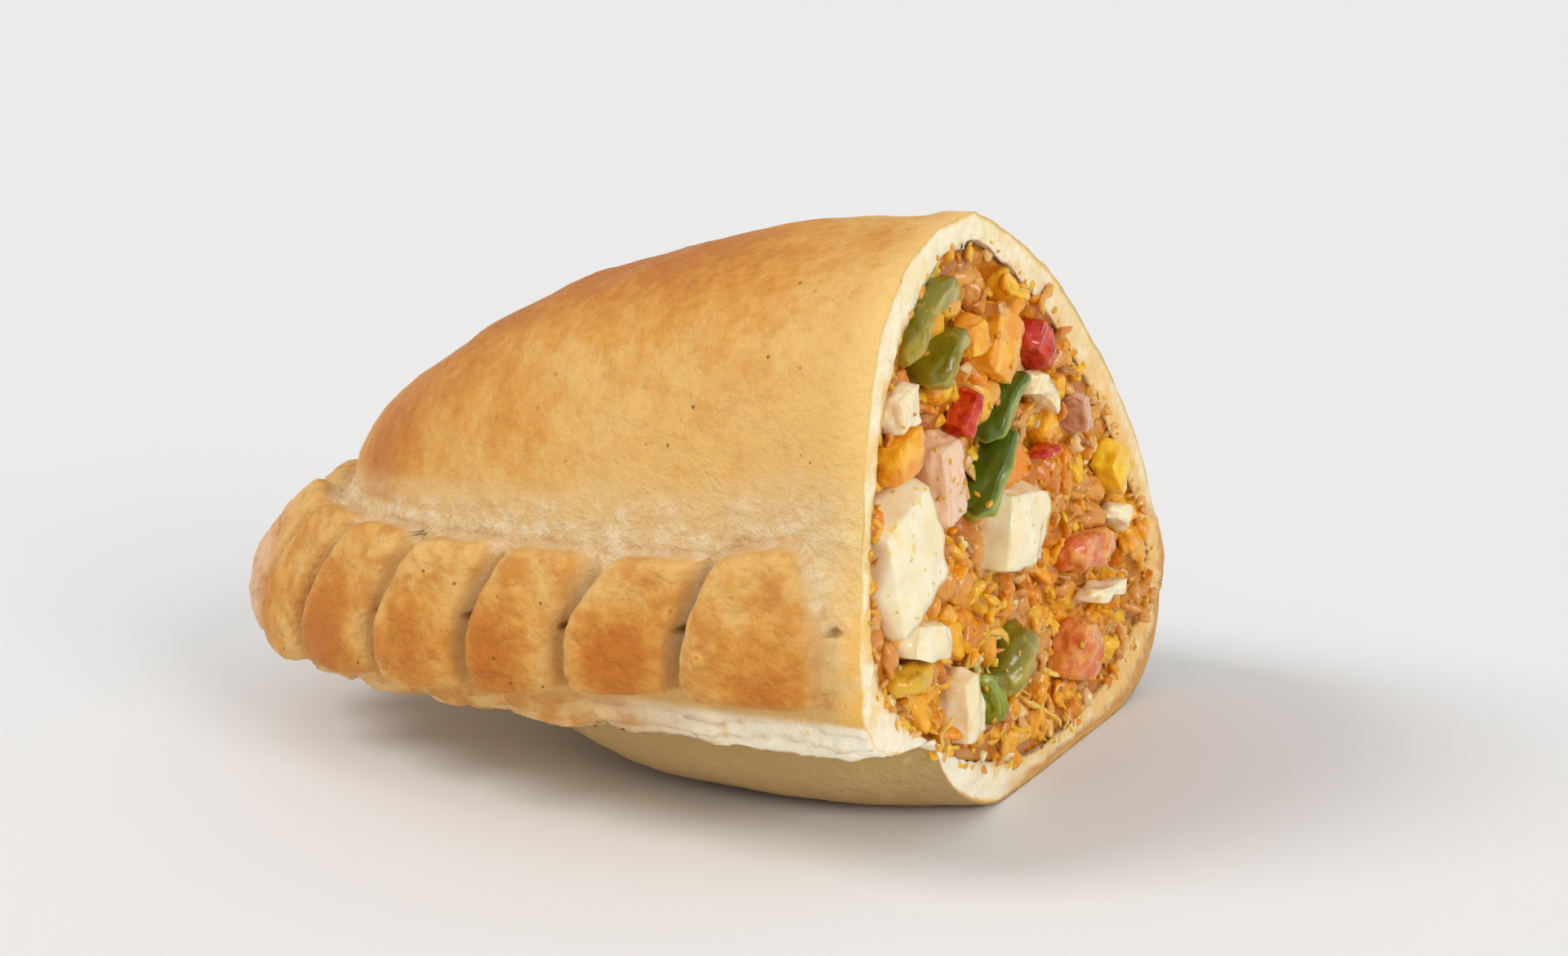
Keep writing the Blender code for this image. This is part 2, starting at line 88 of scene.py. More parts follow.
CRIMP_LEAN = 1.3
CRIMP_BULGE = 1.1
CRIMP_FADE = 22.0
CRIMP_TOP = 0.04
LIP_AT = 0.66
BAND_SHOULDER = 0.45
BAND_BULGE = 0.9
LIP_BULGE = 0.6
LIP_DROPS = 1.7

# Where the crimps of the looks begin and end along the rim, and their finer form
CRIMP_EDGES = (1.7, 11.1, 20.1, 28.7, 37.6, 47.0, 55.0, 62.5, 69.5, 76.5, 83.5, 90.0, 96.0)
CRIMP_BOTTOM = 0.54
CRIMP_TAPER = 0.13
FIRST_CRIMP_TAPER = 0.26
CRIMP_WIDTH = 0.95
CRIMP_SHORTER = 0.07
CRIMP_CORNERS = 6.0
CRIMP_ENDS = 9.0
CRIMP_ROUND = 0.42
SEAM_RISE = 1.2
SCALLOP = 0.75
GAP_DEPTH = 0.5
PIT_DEPTH = 0.45

# How brown each crimp is at its middle, from the cut round to the back
CRIMP_BAKE = (0.7, 1.0, 0.78, 0.7, 0.85, 0.35, 0.7, 0.7, 0.75, 0.6, 0.6, 0.5)

# Where across each crimp its brown lies, from -1 at the end nearer the cut to 1
CRIMP_HOT = (-0.45, -0.1, 0.3, -0.1, 0.2, 0.4, -0.2, 0.1, 0.3, -0.3, 0.2, 0.0)

# How finely the crust's looks are cut
FRONT_STEP, BACK_STEP = 0.4, 0.85
ROOF_ROWS, BAND_ROWS, BELLY_ROWS, RIM_LOOPS = 84, 100, 36, 9
EDGE_ROUND = 0.22
RIM_CENTRE = np.array([-1.0, 19.0])

# Where the roof is browned: place, reach and strength
ALL_OVER_BROWN = 0.06
BROWNED = (
    ((-14.0, -14.0, 40.0), 6.0, 0.6),
    ((-25.0, -10.5, 38.0), 6.0, 0.7),
    ((-34.0, -11.5, 32.0), 5.5, 0.52),
    ((-38.5, -15.0, 25.5), 5.0, 0.4),
    ((-9.0, -18.0, 33.0), 7.0, 0.08),
    ((-42.0, -13.0, 21.0), 4.5, 0.45),
    ((-1.0, -14.0, 41.5), 4.0, 0.4),
    ((-26.0, -19.5, 27.0), 4.0, 0.22),
    ((-28.0, 14.0, 27.0), 10.0, 0.5),
    ((-42.0, 8.0, 26.0), 9.0, 0.45),
    ((-10.0, 22.0, 20.0), 7.0, 0.35),
)

# The filling's cut face: where its edge lies, how far it sinks behind that, and how fine its own mesh is
FACE_EDGE, FACE_SINK = -0.4, -1.5
CORE_ROWS, CORE_SIDES, CORE_RINGS = 70, 36, 46

# A distance to the dough's wall that no crumb is strewn at
NO_WALL = 9.0

# Pieces that show on the cut, as in the part's source: finish, place across and up, width across, height,
# depth, turn in degrees, squareness and bend
FACE_STAND = 1.0
PIECES = {
    "egg_white_wedge": ("egg_white", -16.5, 21.4, 7.6, 8.6, 4.4, 20, 0.62, 0.0),
    "egg_white_slice": ("egg_white", -13.6, 15.1, 6.4, 2.6, 3.6, -14, 0.55, 0.0),
    "egg_white_block": ("egg_white", 1.4, 19.1, 7.8, 6.0, 5.2, -10, 0.66, 0.0),
    "egg_white_low": ("egg_white", -7.2, 8.8, 3.2, 5.6, 3.4, 8, 0.5, 0.0),
    "egg_white_chip": ("egg_white", 19.4, 15.6, 4.2, 1.7, 2.2, -30, 0.3, 0.1),
    "egg_white_sliver": ("egg_white", 17.0, 10.6, 5.8, 1.2, 2.4, -4, 0.5, 0.0),
    "olive_pepper_fold": ("green_pepper", -13.2, 36.5, 7.6, 2.2, 4.6, 24, 0.45, 0.12),
    "olive_pepper_strip": ("green_pepper", -11.0, 33.2, 4.8, 1.7, 3.6, 40, 0.45, 0.1),
    "green_onion_upper": ("green_leaf", -1.5, 28.2, 6.2, 1.7, 3.2, 36, 0.5, 0.08),
    "green_onion_lower": ("green_leaf", -3.2, 24.0, 7.4, 1.6, 3.4, 44, 0.5, 0.0),
    "olive_bean": ("green_pepper", 1.8, 9.4, 6.2, 3.5, 4.2, 30, 0.12, 0.0),
    "green_pepper_wedge": ("green_leaf", -3.4, 8.3, 4.6, 1.7, 2.8, -62, 0.4, 0.1),
    "yellow_pepper_round": ("yellow_pepper", -15.6, 13.0, 4.6, 2.0, 3.2, 0, 0.15, 0.0),
    "yellow_pepper_flap": ("yellow_pepper", 18.3, 19.6, 4.2, 3.2, 2.6, -50, 0.5, 0.0),
    "red_pepper_upper": ("red_pepper", 4.0, 31.3, 4.4, 2.8, 3.0, -35, 0.4, 0.0),
    "red_pepper_middle": ("red_pepper", -8.2, 29.0, 3.4, 1.7, 2.6, 52, 0.4, 0.0),
    "red_pepper_chip": ("red_pepper", 4.8, 23.7, 3.0, 0.9, 2.0, 2, 0.2, 0.0),
    "tomato_piece": ("tomato", 14.4, 14.2, 7.2, 3.1, 3.0, -8, 0.45, 0.0),
    "tomato_slab": ("tomato", 13.4, 6.9, 4.2, 4.6, 3.2, -18, 0.5, 0.0),
    "onion_layer": ("onion", -11.2, 25.2, 3.6, 6.4, 2.8, 14, 0.5, 0.0),
    "onion_strip": ("onion", 4.0, 28.0, 5.6, 1.8, 2.8, -28, 0.45, 0.08),
    "onion_purple": ("onion", 11.2, 25.2, 1.6, 3.4, 2.6, 20, 0.4, 0.0),
    "onion_chip": ("onion", -18.0, 31.2, 3.0, 3.0, 2.4, 12, 0.5, 0.0),
    "squash_block": ("squash", -3.2, 32.5, 5.0, 4.6, 4.4, -30, 0.72, 0.0),
    "squash_left": ("squash", -17.6, 28.2, 3.8, 3.2, 3.2, 16, 0.55, 0.0),
    "squash_mid": ("squash", -7.7, 33.9, 2.6, 2.6, 2.6, 8, 0.5, 0.0),
}

# Pieces of onion that are paler or more purple than the rest
OWN_LOOKS = {"onion_chip": "pale_onion", "onion_strip": "pale_onion", "onion_purple": "purple_onion"}

# How far out the cut filling may reach, in the row's metres
KNIFE = (1.12 - FRAME_CENTRE[0]) * MM

# The camera stands where the photograph's did
CAMERA_PLACE = np.array([74.02, -172.43, 70.15])
CAMERA_AZIMUTH = math.radians(28.0)
CAMERA_PITCH = math.radians(14.19)
CAMERA_LENS = 65.625

# Looks of the cut pieces: two colours, how coarsely they mix, and what else wet_finish is told
SAUCE = (0.84, 0.34, 0.02)
FIBRES = (0.2, 1.6, 0.12)
FINISHES = {
    "egg_white": dict(low=(0.93, 0.78, 0.46), high=(0.98, 0.88, 0.62), size=3.0, rough=0.22, subsurface=0.25,
                      spots=((0.92, 0.62, 0.06), -0.03), radius=(1.0, 0.8, 0.5), depth=0.03),
    "green_pepper": dict(low=(0.30, 0.23, 0.010), high=(0.48, 0.38, 0.04), skin=(0.22, 0.19, 0.006),
                         rough=0.22, spots=((0.55, 0.36, 0.04), -0.04)),
    "green_leaf": dict(low=(0.15, 0.20, 0.008), high=(0.34, 0.39, 0.035), skin=(0.085, 0.135, 0.006),
                       rough=0.28, stripes=(0.3, 0.2, 2.0)),
    "red_pepper": dict(low=(0.50, 0.012, 0.003), high=(0.74, 0.08, 0.012), rough=0.22, radius=(1.0, 0.2, 0.1),
                       spots=((0.86, 0.30, 0.06), -0.02), subsurface=0.1),
    "tomato": dict(low=(0.72, 0.15, 0.03), high=(0.86, 0.34, 0.10), rough=0.24,
                   spots=((0.86, 0.44, 0.07), 0.07)),
    "onion": dict(low=(0.78, 0.45, 0.25), high=(0.88, 0.60, 0.38), rough=0.16, depth=0.05, stripes=FIBRES,
                  spots=(SAUCE, -0.06)),
    "pale_onion": dict(low=(0.88, 0.66, 0.34), high=(0.95, 0.80, 0.52), rough=0.16, depth=0.05,
                       stripes=FIBRES, spots=((0.92, 0.60, 0.10), 0.0)),
    "purple_onion": dict(low=(0.50, 0.20, 0.10), high=(0.76, 0.44, 0.28), rough=0.18, depth=0.06,
                         stripes=FIBRES),
    "squash": dict(low=(0.86, 0.31, 0.005), high=(0.98, 0.50, 0.015), rough=0.35, depth=0.3, size=1.8,
                   spots=((1.0, 0.60, 0.03), 0.0)),
    "yellow_pepper": dict(low=(0.92, 0.50, 0.01), high=(0.98, 0.64, 0.02), rough=0.25,
                          deeper=(0.74, 0.42, 0.015)),
}

# Looks of the strewn crumbs: a dark, a middle and a light colour
# The core's bed shows between the crumbs; its colours are darker than the mince's, partly as painted shade in
# those gaps
BED_WITH_GAP_SHADE = ((0.50, 0.14, 0.003), (0.80, 0.29, 0.006), (0.95, 0.46, 0.012))
BED_ZONE = (0.70, 0.27, 0.02)
MINCE = ((0.68, 0.21, 0.005), (0.96, 0.40, 0.010), (1.0, 0.57, 0.035))
BEEF = ((0.44, 0.17, 0.03), (0.74, 0.34, 0.07), (0.88, 0.51, 0.16))
MASH = ((0.88, 0.27, 0.003), (0.97, 0.43, 0.006), (1.0, 0.62, 0.02))
YOLK = ((0.95, 0.58, 0.04), (0.98, 0.70, 0.10), (1.0, 0.80, 0.22))
CREAM = ((0.90, 0.62, 0.18), (0.94, 0.78, 0.42), (0.96, 0.86, 0.60))
SHRED = ((0.84, 0.42, 0.04), (0.94, 0.58, 0.09), (0.96, 0.68, 0.20))
ONION_BIT = ((0.80, 0.44, 0.16), (0.90, 0.60, 0.28), (0.95, 0.76, 0.46))
FLECK_RED = ((0.60, 0.05, 0.02), (0.78, 0.09, 0.03), (0.82, 0.2, 0.05))
FLECK_GREEN = ((0.05, 0.06, 0.005), (0.14, 0.14, 0.01), (0.26, 0.22, 0.02))


# Curves and surfaces


def along_rim(share, values):
    """A smooth curve through evenly spaced values, read at a share from 0 to 1 of the way round the rim."""
    last = len(values) - 1
    place = np.clip(np.asarray(share, float), 0.0, 1.0) * last
    left = np.minimum(place.astype(int), last - 1)
    t = place - left
    padded = np.concatenate([[2 * values[0] - values[1]], values, [2 * values[-1] - values[-2]]])
    a, b, c, d = (padded[left + i] for i in range(4))
    return b + 0.5 * t * (c - a + t * (2 * a - 5 * b + 4 * c - d + t * (3 * (b - c) + d - a)))


def rim_table():
    """The rim in plan, from the cut round the tip to the cut, with the length along it."""
    turn = np.linspace(0.0, math.pi, 4001)
    sine, cosine = np.abs(np.sin(turn)), np.cos(turn)
    reach = np.where(cosine > 0, FRONT_REACH, BACK_REACH)
    x = -HALF_LENGTH * sine ** (2 / PLAN_POWER)
    y = PLAN_CENTRE_Y - reach * np.sign(cosine) * np.abs(cosine) ** (2 / PLAN_POWER)
    x[0] = x[-1] = 0.0
    length = np.concatenate([[0.0], np.cumsum(np.hypot(np.diff(x), np.diff(y)))])
    return x, y, length


RIM_X, RIM_Y, RIM_S = rim_table()
RIM_LENGTH = float(RIM_S[-1])


def inset_rim(s, inset):
    x, y = np.interp(s, RIM_S, RIM_X), np.interp(s, RIM_S, RIM_Y)
    keep = 1.0 - inset / np.hypot(x, y - PLAN_CENTRE_Y)
    return x * keep, PLAN_CENTRE_Y + (y - PLAN_CENTRE_Y) * keep


def vault(s, turn, pole_y, pole_z, inset, edge_z, power):
    """Points from a pole on the cut plane out to an inset rim, at turns from 0 to QUARTER down a profile."""
    edge_x, edge_y = inset_rim(s, inset)
    out = np.sin(turn) ** (2 / power)
    rise = np.clip(np.cos(turn), 0.0, 1.0) ** (2 / power)
    y, z = pole_y + out * (edge_y - pole_y), edge_z + (pole_z - edge_z) * rise
    return np.stack([out * edge_x, y, z], axis=-1)


def flat_foot(s, rows):
    """The underside from the band's end down a rounded edge to a foot that lies flat on the ground."""
    share = s / RIM_LENGTH
    flat, power = along_rim(share, FOOT_FLAT), along_rim(share, FOOT_POWER)
    edge_x, edge_y = inset_rim(s, along_rim(share, UNDER_INSET))
    turn = np.linspace(QUARTER, 0.0, rows)[:, None]
    foot = flat * np.linspace(1.0, 0.0, rows // 3 + 1)[1:, None]
    out = np.concatenate([flat + (1.0 - flat) * np.sin(turn) ** (2 / power), foot])
    rise = np.concatenate([1.0 - np.clip(np.cos(turn), 0.0, 1.0) ** (2 / power), 0.0 * foot])
    y, z = FOOT_Y + out * (edge_y - FOOT_Y), along_rim(share, UNDER_Z) * rise
    return np.stack([out * edge_x, y, z], axis=-1)


def seam_height(s):
    """The seam's height round the rim, with a rise over the crimp nearest the cut."""
    return along_rim(s / RIM_LENGTH, SEAM_Z) + SEAM_RISE * np.exp(-(((s - 5.0) / 4.6) ** 2))


def crimp_down(s, v):
    """Place down a crimp, from -1 at its top edge to 1 at its bottom edge, which is higher by the cut."""
    bottom = CRIMP_BOTTOM - CRIMP_SHORTER * smooth_step(34.0, 8.0, s)
    return (2 * v - CRIMP_TOP - bottom) / (bottom - CRIMP_TOP)


def leaning(s, v):
    """The length along the rim that a point of the band is drawn at, so that the crimps lean and bulge."""
    down = np.clip(crimp_down(s, v), -1.1, 1.5)
    ends = np.clip(s / 6.0, 0.0, 1.0) * np.clip((CRIMP_EDGES[-1] - s) / CRIMP_FADE, 0.0, 1.0)
    within = np.sin(math.pi * np.clip(v / 0.9, 0.0, 1.0)) ** 0.3
    return s + ends * within * (CRIMP_LEAN * down + CRIMP_BULGE * np.clip(1.0 - down**2, 0.0, 1.0))


def band_profile(s, v):
    """Points from the seam at the roof's edge, out over the crimp's rim and in under it to the belly."""
    share = s / RIM_LENGTH
    seam, under = along_rim(share, SEAM_INSET), along_rim(share, UNDER_INSET)
    seam_z, rim_z, under_z = seam_height(s), along_rim(share, RIM_Z), along_rim(share, UNDER_Z)
    drop = along_rim(share, LIP_DROP)
    controls = (
        (seam, seam_z),
        (BAND_SHOULDER * seam, 0.5 * (seam_z + rim_z)),
        (-BAND_BULGE, rim_z),
        (-LIP_BULGE, rim_z - LIP_DROPS * drop),
        (BAND_SHOULDER * under, under_z + 0.1 * drop),
        (under, under_z),
    )
    degree = len(controls) - 1
    weights = [math.comb(degree, i) * v**i * (1 - v) ** (degree - i) for i in range(degree + 1)]
    inset, z = (sum(weight * control[i] for weight, control in zip(weights, controls)) for i in (0, 1))
    x, y = inset_rim(s, inset)
    return np.stack([x, y, z], axis=-1)


def cavity_point(s, way, clearance=0.0):
    """A point of the room in the dough, where way is 0 at the roof's pole, 1 at its edge and 2 at the floor's."""
    share = s / RIM_LENGTH
    inset = along_rim(share, CAVITY_INSET) + clearance
    edge_z = along_rim(share, CAVITY_Z)
    roof = vault(s, QUARTER * np.clip(way, 0, 1), RIDGE_Y, HEIGHT - ROOF_DOUGH - clearance, inset, edge_z,
                 along_rim(share, CAVITY_ROOF_POWER))
    floor = vault(s, QUARTER * np.clip(2 - way, 0, 1), FOOT_Y, FLOOR_DOUGH + clearance, inset, edge_z,
                  along_rim(share, CAVITY_FOOT_POWER))
    return np.where((way <= 1.0)[..., None], roof, floor)


def grain(points, size, seed=0):
    """Smooth noise between about -1 and 1 with lumps of the given size, at an array of points."""
    place = np.asarray(points, float) / size + 31.7 * seed
    cell = np.floor(place).astype(np.int64)
    part = place - cell
    ease = part * part * part * (part * (part * 6 - 15) + 10)
    total = np.zeros(place.shape[:-1])
    for corner in np.ndindex(2, 2, 2):
        at = cell + np.array(corner)
        code = (at[..., 0] * 73856093) ^ (at[..., 1] * 19349663) ^ (at[..., 2] * 83492791)
        code = code ^ (seed * 2654435761)
        code = (code ^ (code >> 13)) * 1274126177 & 0x7FFFFFFF
        code = code ^ (code >> 16)
        slope = np.stack([(code >> shift & 255) - 127.5 for shift in (0, 8, 16)], axis=-1) / 127.5
        weight = np.prod(np.where(np.array(corner) == 1, ease, 1 - ease), axis=-1)
        total += weight * ((part - np.array(corner)) * slope).sum(-1)
    return total * 1.5


def smooth_step(low, high, value):
    t = np.clip((value - low) / (high - low), 0.0, 1.0)
    return t * t * (3 - 2 * t)


def bump(value, width):
    """1 where the value is 0, falling off smoothly over the width."""
    return np.exp(-((value / width) ** 2))


def grid_normals(grid):
    normal = np.cross(np.gradient(grid, axis=1), np.gradient(grid, axis=0))
    return normal / np.maximum(np.linalg.norm(normal, axis=-1, keepdims=True), 1e-9)


# Mesh making


def placed(name, data):
    """An object of the given data, at the origin and in the scene."""
    obj = bpy.data.objects.new(name, data)
    bpy.context.scene.collection.objects.link(obj)
    return obj


def mesh_piece(name, points, faces, attributes=None, inside_out=False):
    """A smooth-shaded object at the origin from millimetre points, with per-point number attributes."""
    data = bpy.data.meshes.new(name)
    outward = [face[::-1] for face in faces] if inside_out else faces
    data.from_pydata(((np.asarray(points) - FRAME_CENTRE) * MM).tolist(), [], outward)
    for key, values in (attributes or {}).items():
        kind = "FLOAT" if np.ndim(values) == 1 else "FLOAT_VECTOR"
        layer = data.attributes.new(key, kind, "POINT")
        field = "value" if kind == "FLOAT" else "vector"
        layer.data.foreach_set(field, np.asarray(values, np.float32).ravel())
    data.shade_smooth()
    return placed(name, data)


def loose_object(name, work):
    """A smooth-shaded object outside the scene from a working mesh, which is freed."""
    data = bpy.data.meshes.new(name)
    work.to_mesh(data)
    work.free()
    data.shade_smooth()
    return bpy.data.objects.new(name, data)


def joined(name, objects):
    """One mesh object with everything in the given objects, for the scatter to read."""
    work = bmesh.new()
    for obj in objects:
        work.from_mesh(obj.data)
    return loose_object(name, work)


def finished(obj, finish):
    obj.data.materials.clear()
    obj.data.materials.append(finish)
    return obj


def skin_indices(rows, columns):
    """Point numbers of a grid whose first and last rows are a single point each, numbered 0 and 1."""
    index = np.empty((rows, columns), int)
    index[0], index[-1] = 0, 1
    index[1:-1] = np.arange((rows - 2) * columns).reshape(rows - 2, columns) + 2
    return index


def skin_points(grid):
    """What a grid holds at its points, in the order of their numbers."""
    return [grid[0, :1], grid[-1, :1], grid[1:-1].reshape(-1, *grid.shape[2:])]


def at_the_cut(grid):
    """What a grid holds round the cut: down its first column and back up its last."""
    return np.concatenate([grid[:, 0], grid[-2:0:-1, -1]])


def ring_faces(outer, inner):
    """Faces between two closed loops of point numbers."""
    return list(zip(outer[1:] + outer[:1], outer, inner, inner[1:] + inner[:1]))


# The crust


def crimps(s, v):
    """Relief of the crimps at length s and share v down the band, with their browning, the painted shade of their
    creases, and their pits, which are also painted dark as shade.
    """
    down = crimp_down(s, v)
    upper = np.clip(-down, 0, 1)
    relief = np.zeros(np.broadcast(s, v).shape)
    bake, crease, pit, scallop = (relief.copy() for _ in range(4))
    for i, (start, end) in enumerate(zip(CRIMP_EDGES, CRIMP_EDGES[1:])):
        first = i == 0
        middle, half = 0.5 * (start + end), 0.5 * (end - start)
        taper = (FIRST_CRIMP_TAPER if first else CRIMP_TAPER) * (1.0 + 0.25 * math.sin(1.9 * i)) * upper
        across = (s - middle + (-1.0 if first else 0.6) * taper * half) / (half * (CRIMP_WIDTH - taper))
        square = 1.0 - np.abs(across) ** CRIMP_CORNERS - np.abs(down) ** CRIMP_ENDS
        pad = np.clip(square, 0.0, 1.0) ** CRIMP_ROUND
        fade = min(1.0, (CRIMP_EDGES[-1] - middle) / CRIMP_FADE)
        height = CRIMP_RISE * fade * (1.0 + 0.1 * math.sin(2.3 * i + 0.7))
        hollow = 0.14 * np.exp(-(((across + 0.25) / 0.3) ** 2 + ((down + 0.35) / 0.5) ** 2))
        relief = np.maximum(relief, height * pad * (1.0 + 0.14 * np.clip(across, -1, 1) - hollow))
        hot_down = 0.75 if first else 0.45
        hot = np.exp(-(((across - CRIMP_HOT[i]) / 0.75) ** 2 + ((down - hot_down) / 0.8) ** 2))
        bake = np.maximum(bake, (0.22 + CRIMP_BAKE[i] * hot) * pad * min(1.0, 0.5 + fade))
        # Painted shade: a darker band along each crimp's sides and just above its top, where the creases are
        near = bump((np.abs(across) - 1.0) * half, 0.4) * (np.abs(down) < 1.05)
        above = 0.55 * bump(down + 1.02, 0.07) * smooth_step(1.05, 0.9, np.abs(across))
        crease = np.maximum(crease, np.maximum(near * smooth_step(-0.45, 0.35, down), above) * fade)
        arch = (1.0 - across**2).clip(0.0, 1.0) ** 0.7
        scallop = np.maximum(scallop, arch * fade * (1.0 + 0.3 * math.sin(4.1 * i)))
        # Pits where the crimps meet: sunk into the dough, and painted near-black there as shade
        aside, off = (s - end) / 0.6, (down - 0.02 - 0.1 * math.sin(3.0 * i)) / 0.085
        pit = np.maximum(pit, np.exp(-(aside**2 + off**2)) * fade)
    # A pit near the cut, sunk and painted dark as shade in the same way
    spot = np.exp(-(((s - 1.6) / 0.45) ** 2 + ((down + 0.02) / 0.07) ** 2))
    return relief, bake, crease, np.maximum(pit, spot), scallop


def crust_outside():
    """The crust's outside as a grid of points, with masks for its finish."""
    front = np.linspace(0.0, CRIMP_EDGES[-1], int(CRIMP_EDGES[-1] / FRONT_STEP))
    back = np.linspace(CRIMP_EDGES[-1], RIM_LENGTH, int((RIM_LENGTH - CRIMP_EDGES[-1]) / BACK_STEP))
    s = np.concatenate([front, back[1:]])[None, :]
    s[0, 0], s[0, -1] = EDGE_ROUND, RIM_LENGTH - EDGE_ROUND
    share = s / RIM_LENGTH
    fade = np.clip((CRIMP_EDGES[-1] - s) / CRIMP_FADE, 0.0, 1.0)

    roof_turn = (QUARTER * np.linspace(0.0, 1.0, ROOF_ROWS + 1) ** 0.9)[:, None]
    roof = vault(s, roof_turn, RIDGE_Y, HEIGHT, along_rim(share, SEAM_INSET), seam_height(s),
                 along_rim(share, ROOF_POWER))

    v = np.linspace(0.0, 1.0, BAND_ROWS + 1)[:, None]
    v = v - 0.5 * np.sin(FULL * v) / FULL * (1 - v)
    band = band_profile(leaning(s, v), v)
    relief, band_bake, crease, pit, scallop = crimps(s, v)
    outward = grid_normals(band)
    gaps = bump(relief, 0.5) * smooth_step(0.0, 0.12, v) * smooth_step(0.5, 0.4, v) * fade
    gaps = gaps * (0.6 + 0.5 * grain(band, 3.0, 9))
    risen = relief * np.sin(np.clip(v / 0.03, 0, 1) * QUARTER)
    band = band + outward * (risen - GAP_DEPTH * gaps - PIT_DEPTH * pit)[..., None]
    wavy = 0.9 + 0.45 * grain(np.stack([s + 0 * v, 0 * s + 0 * v, 0 * s + 0 * v], axis=-1), 5.0, 3)
    sheets = (v + 0.034 * grain(band, 7.0, 16) + 0.012 * grain(band, 2.2, 17)) * 19.0
    sheets = sheets - np.floor(sheets)
    layers = 0.34 * (sheets**1.6 - 0.4) * smooth_step(0.54, 0.6, v) * smooth_step(0.86, 0.78, v)
    hanging = smooth_step(0.46, 0.56, v) * smooth_step(0.86, 0.72, v) * smooth_step(14.0, 26.0, s)
    lip = bump(v - LIP_AT, 0.07) * fade * (1 - 0.5 * hanging)
    lip_relief = lip * wavy + layers + SCALLOP * (scallop - 0.35) * hanging
    band = band + outward * (lip_relief * np.clip(s / 1.5, 0.35, 1))[..., None]

    belly = flat_foot(s, BELLY_ROWS)
    grid = np.concatenate([roof[:-1], band, belly[1:]])
    rows, columns = grid.shape[:2]

    def zone(roof_values, band_values, belly_values):
        parts = [np.broadcast_to(value, (count, columns)) for value, count in
                 ((roof_values, ROOF_ROWS), (band_values, BAND_ROWS + 1), (belly_values, len(belly) - 1))]
        return np.concatenate(parts)

    def on_band(values):
        return zone(0.0, values, 0.0)

    down_roof = np.linspace(0.0, 1.0, ROOF_ROWS)[:, None]
    roof_only = zone(1.0, 0.0, 0.0)
    browned = np.full((rows, columns), ALL_OVER_BROWN)
    for place, reach, strength in BROWNED:
        browned = browned + strength * np.exp(-((grid - np.array(place)) ** 2).sum(-1) / (2 * reach**2))
    browned = browned * zone(1.0, smooth_step(0.12, 0.0, v), 0.0) + on_band(band_bake)
    browned = np.clip(browned + zone(0.0, 0.0, 1.0) * 0.8 * bump(grid[..., 2], 1.6), 0.0, 1.0)
    flour = zone(
        0.62 * smooth_step(0.9, 1.0, down_roof) * fade,
        np.clip(1.1 - relief / 1.1, 0.0, 1.0) * smooth_step(0.46, 0.3, v) * fade,
        0.0,
    )
    masks = {
        "baked": browned,
        "flour": np.clip(flour, 0.0, 1.0),
        # Painted shade: the next two masks darken the creases and the pits
        "crease": on_band(crease),
        "pit": on_band(pit),
        "sheet": on_band(np.abs(sheets) ** 3 * smooth_step(0.52, 0.58, v) * smooth_step(0.9, 0.8, v)),
        "lip": on_band(smooth_step(0.52, 0.57, v) * smooth_step(0.84, 0.76, v) * fade),
        "crimp": on_band(np.clip(relief / CRIMP_RISE, 0, 1)),
        "under": zone(0.0, smooth_step(0.72, 0.9, v), 1.0),
        "seam": zone(smooth_step(0.93, 1.0, down_roof), smooth_step(0.10, 0.0, v), 0.0) * fade,
    }

    normal = grid_normals(grid)
    pinned = np.ones((rows, 1))
    pinned[:3, 0] = pinned[-3:, 0] = 0.0
    lumps = 0.30 * grain(grid, 11.0, 1) + 0.16 * grain(grid, 5.0, 2) + 0.09 * grain(grid, 2.4, 4)
    leather = 0.05 * grain(grid, 1.2, 5) + 0.035 * grain(grid, 0.75, 6)
    leather = leather * (1 + 1.6 * masks["seam"] + 0.8 * masks["crimp"])
    wrinkles = -0.12 * bump(grain(grid * np.array([1.0, 1.0, 0.7]), 1.7, 7), 0.10)
    wrinkles = wrinkles * masks["crimp"] * smooth_step(0.1, 0.7, grain(grid, 3.0, 8))
    gentle = roof_only + (1 - roof_only) * (0.2 + 0.5 * smooth_step(-0.5, -5.0, grid[..., 0]))
    grid = grid + normal * (pinned * (gentle * (lumps - 0.2) + leather + wrinkles))[..., None]
    return np.clip(grid, BOX_LOW, BOX_HIGH), masks


def rim_ways(front_edge, back_edge):
    """For each row of the outside, the way along the cavity's front and back profiles that lies behind it."""
    way = np.linspace(0.0, 2.0, 1201)
    found = []
    for edge, s in ((front_edge, 0.0), (back_edge, RIM_LENGTH)):
        inner = cavity_point(np.full_like(way, s), way)[:, 1:] - RIM_CENTRE
        inner_turn = np.unwrap(np.arctan2(inner[:, 1], inner[:, 0]))
        outer = edge[:, 1:] - RIM_CENTRE
        outer_turn = np.unwrap(np.arctan2(outer[:, 1], outer[:, 0]))
        outer_turn += FULL * np.round((inner_turn[0] - outer_turn[0]) / FULL)
        low, high = (inner_turn[::-1], way[::-1]) if inner_turn[-1] < inner_turn[0] else (inner_turn, way)
        found.append(np.maximum.accumulate(np.interp(outer_turn, low, high)))
    for ways in found:
        ways[0], ways[-1] = 0.0, 2.0
    return found


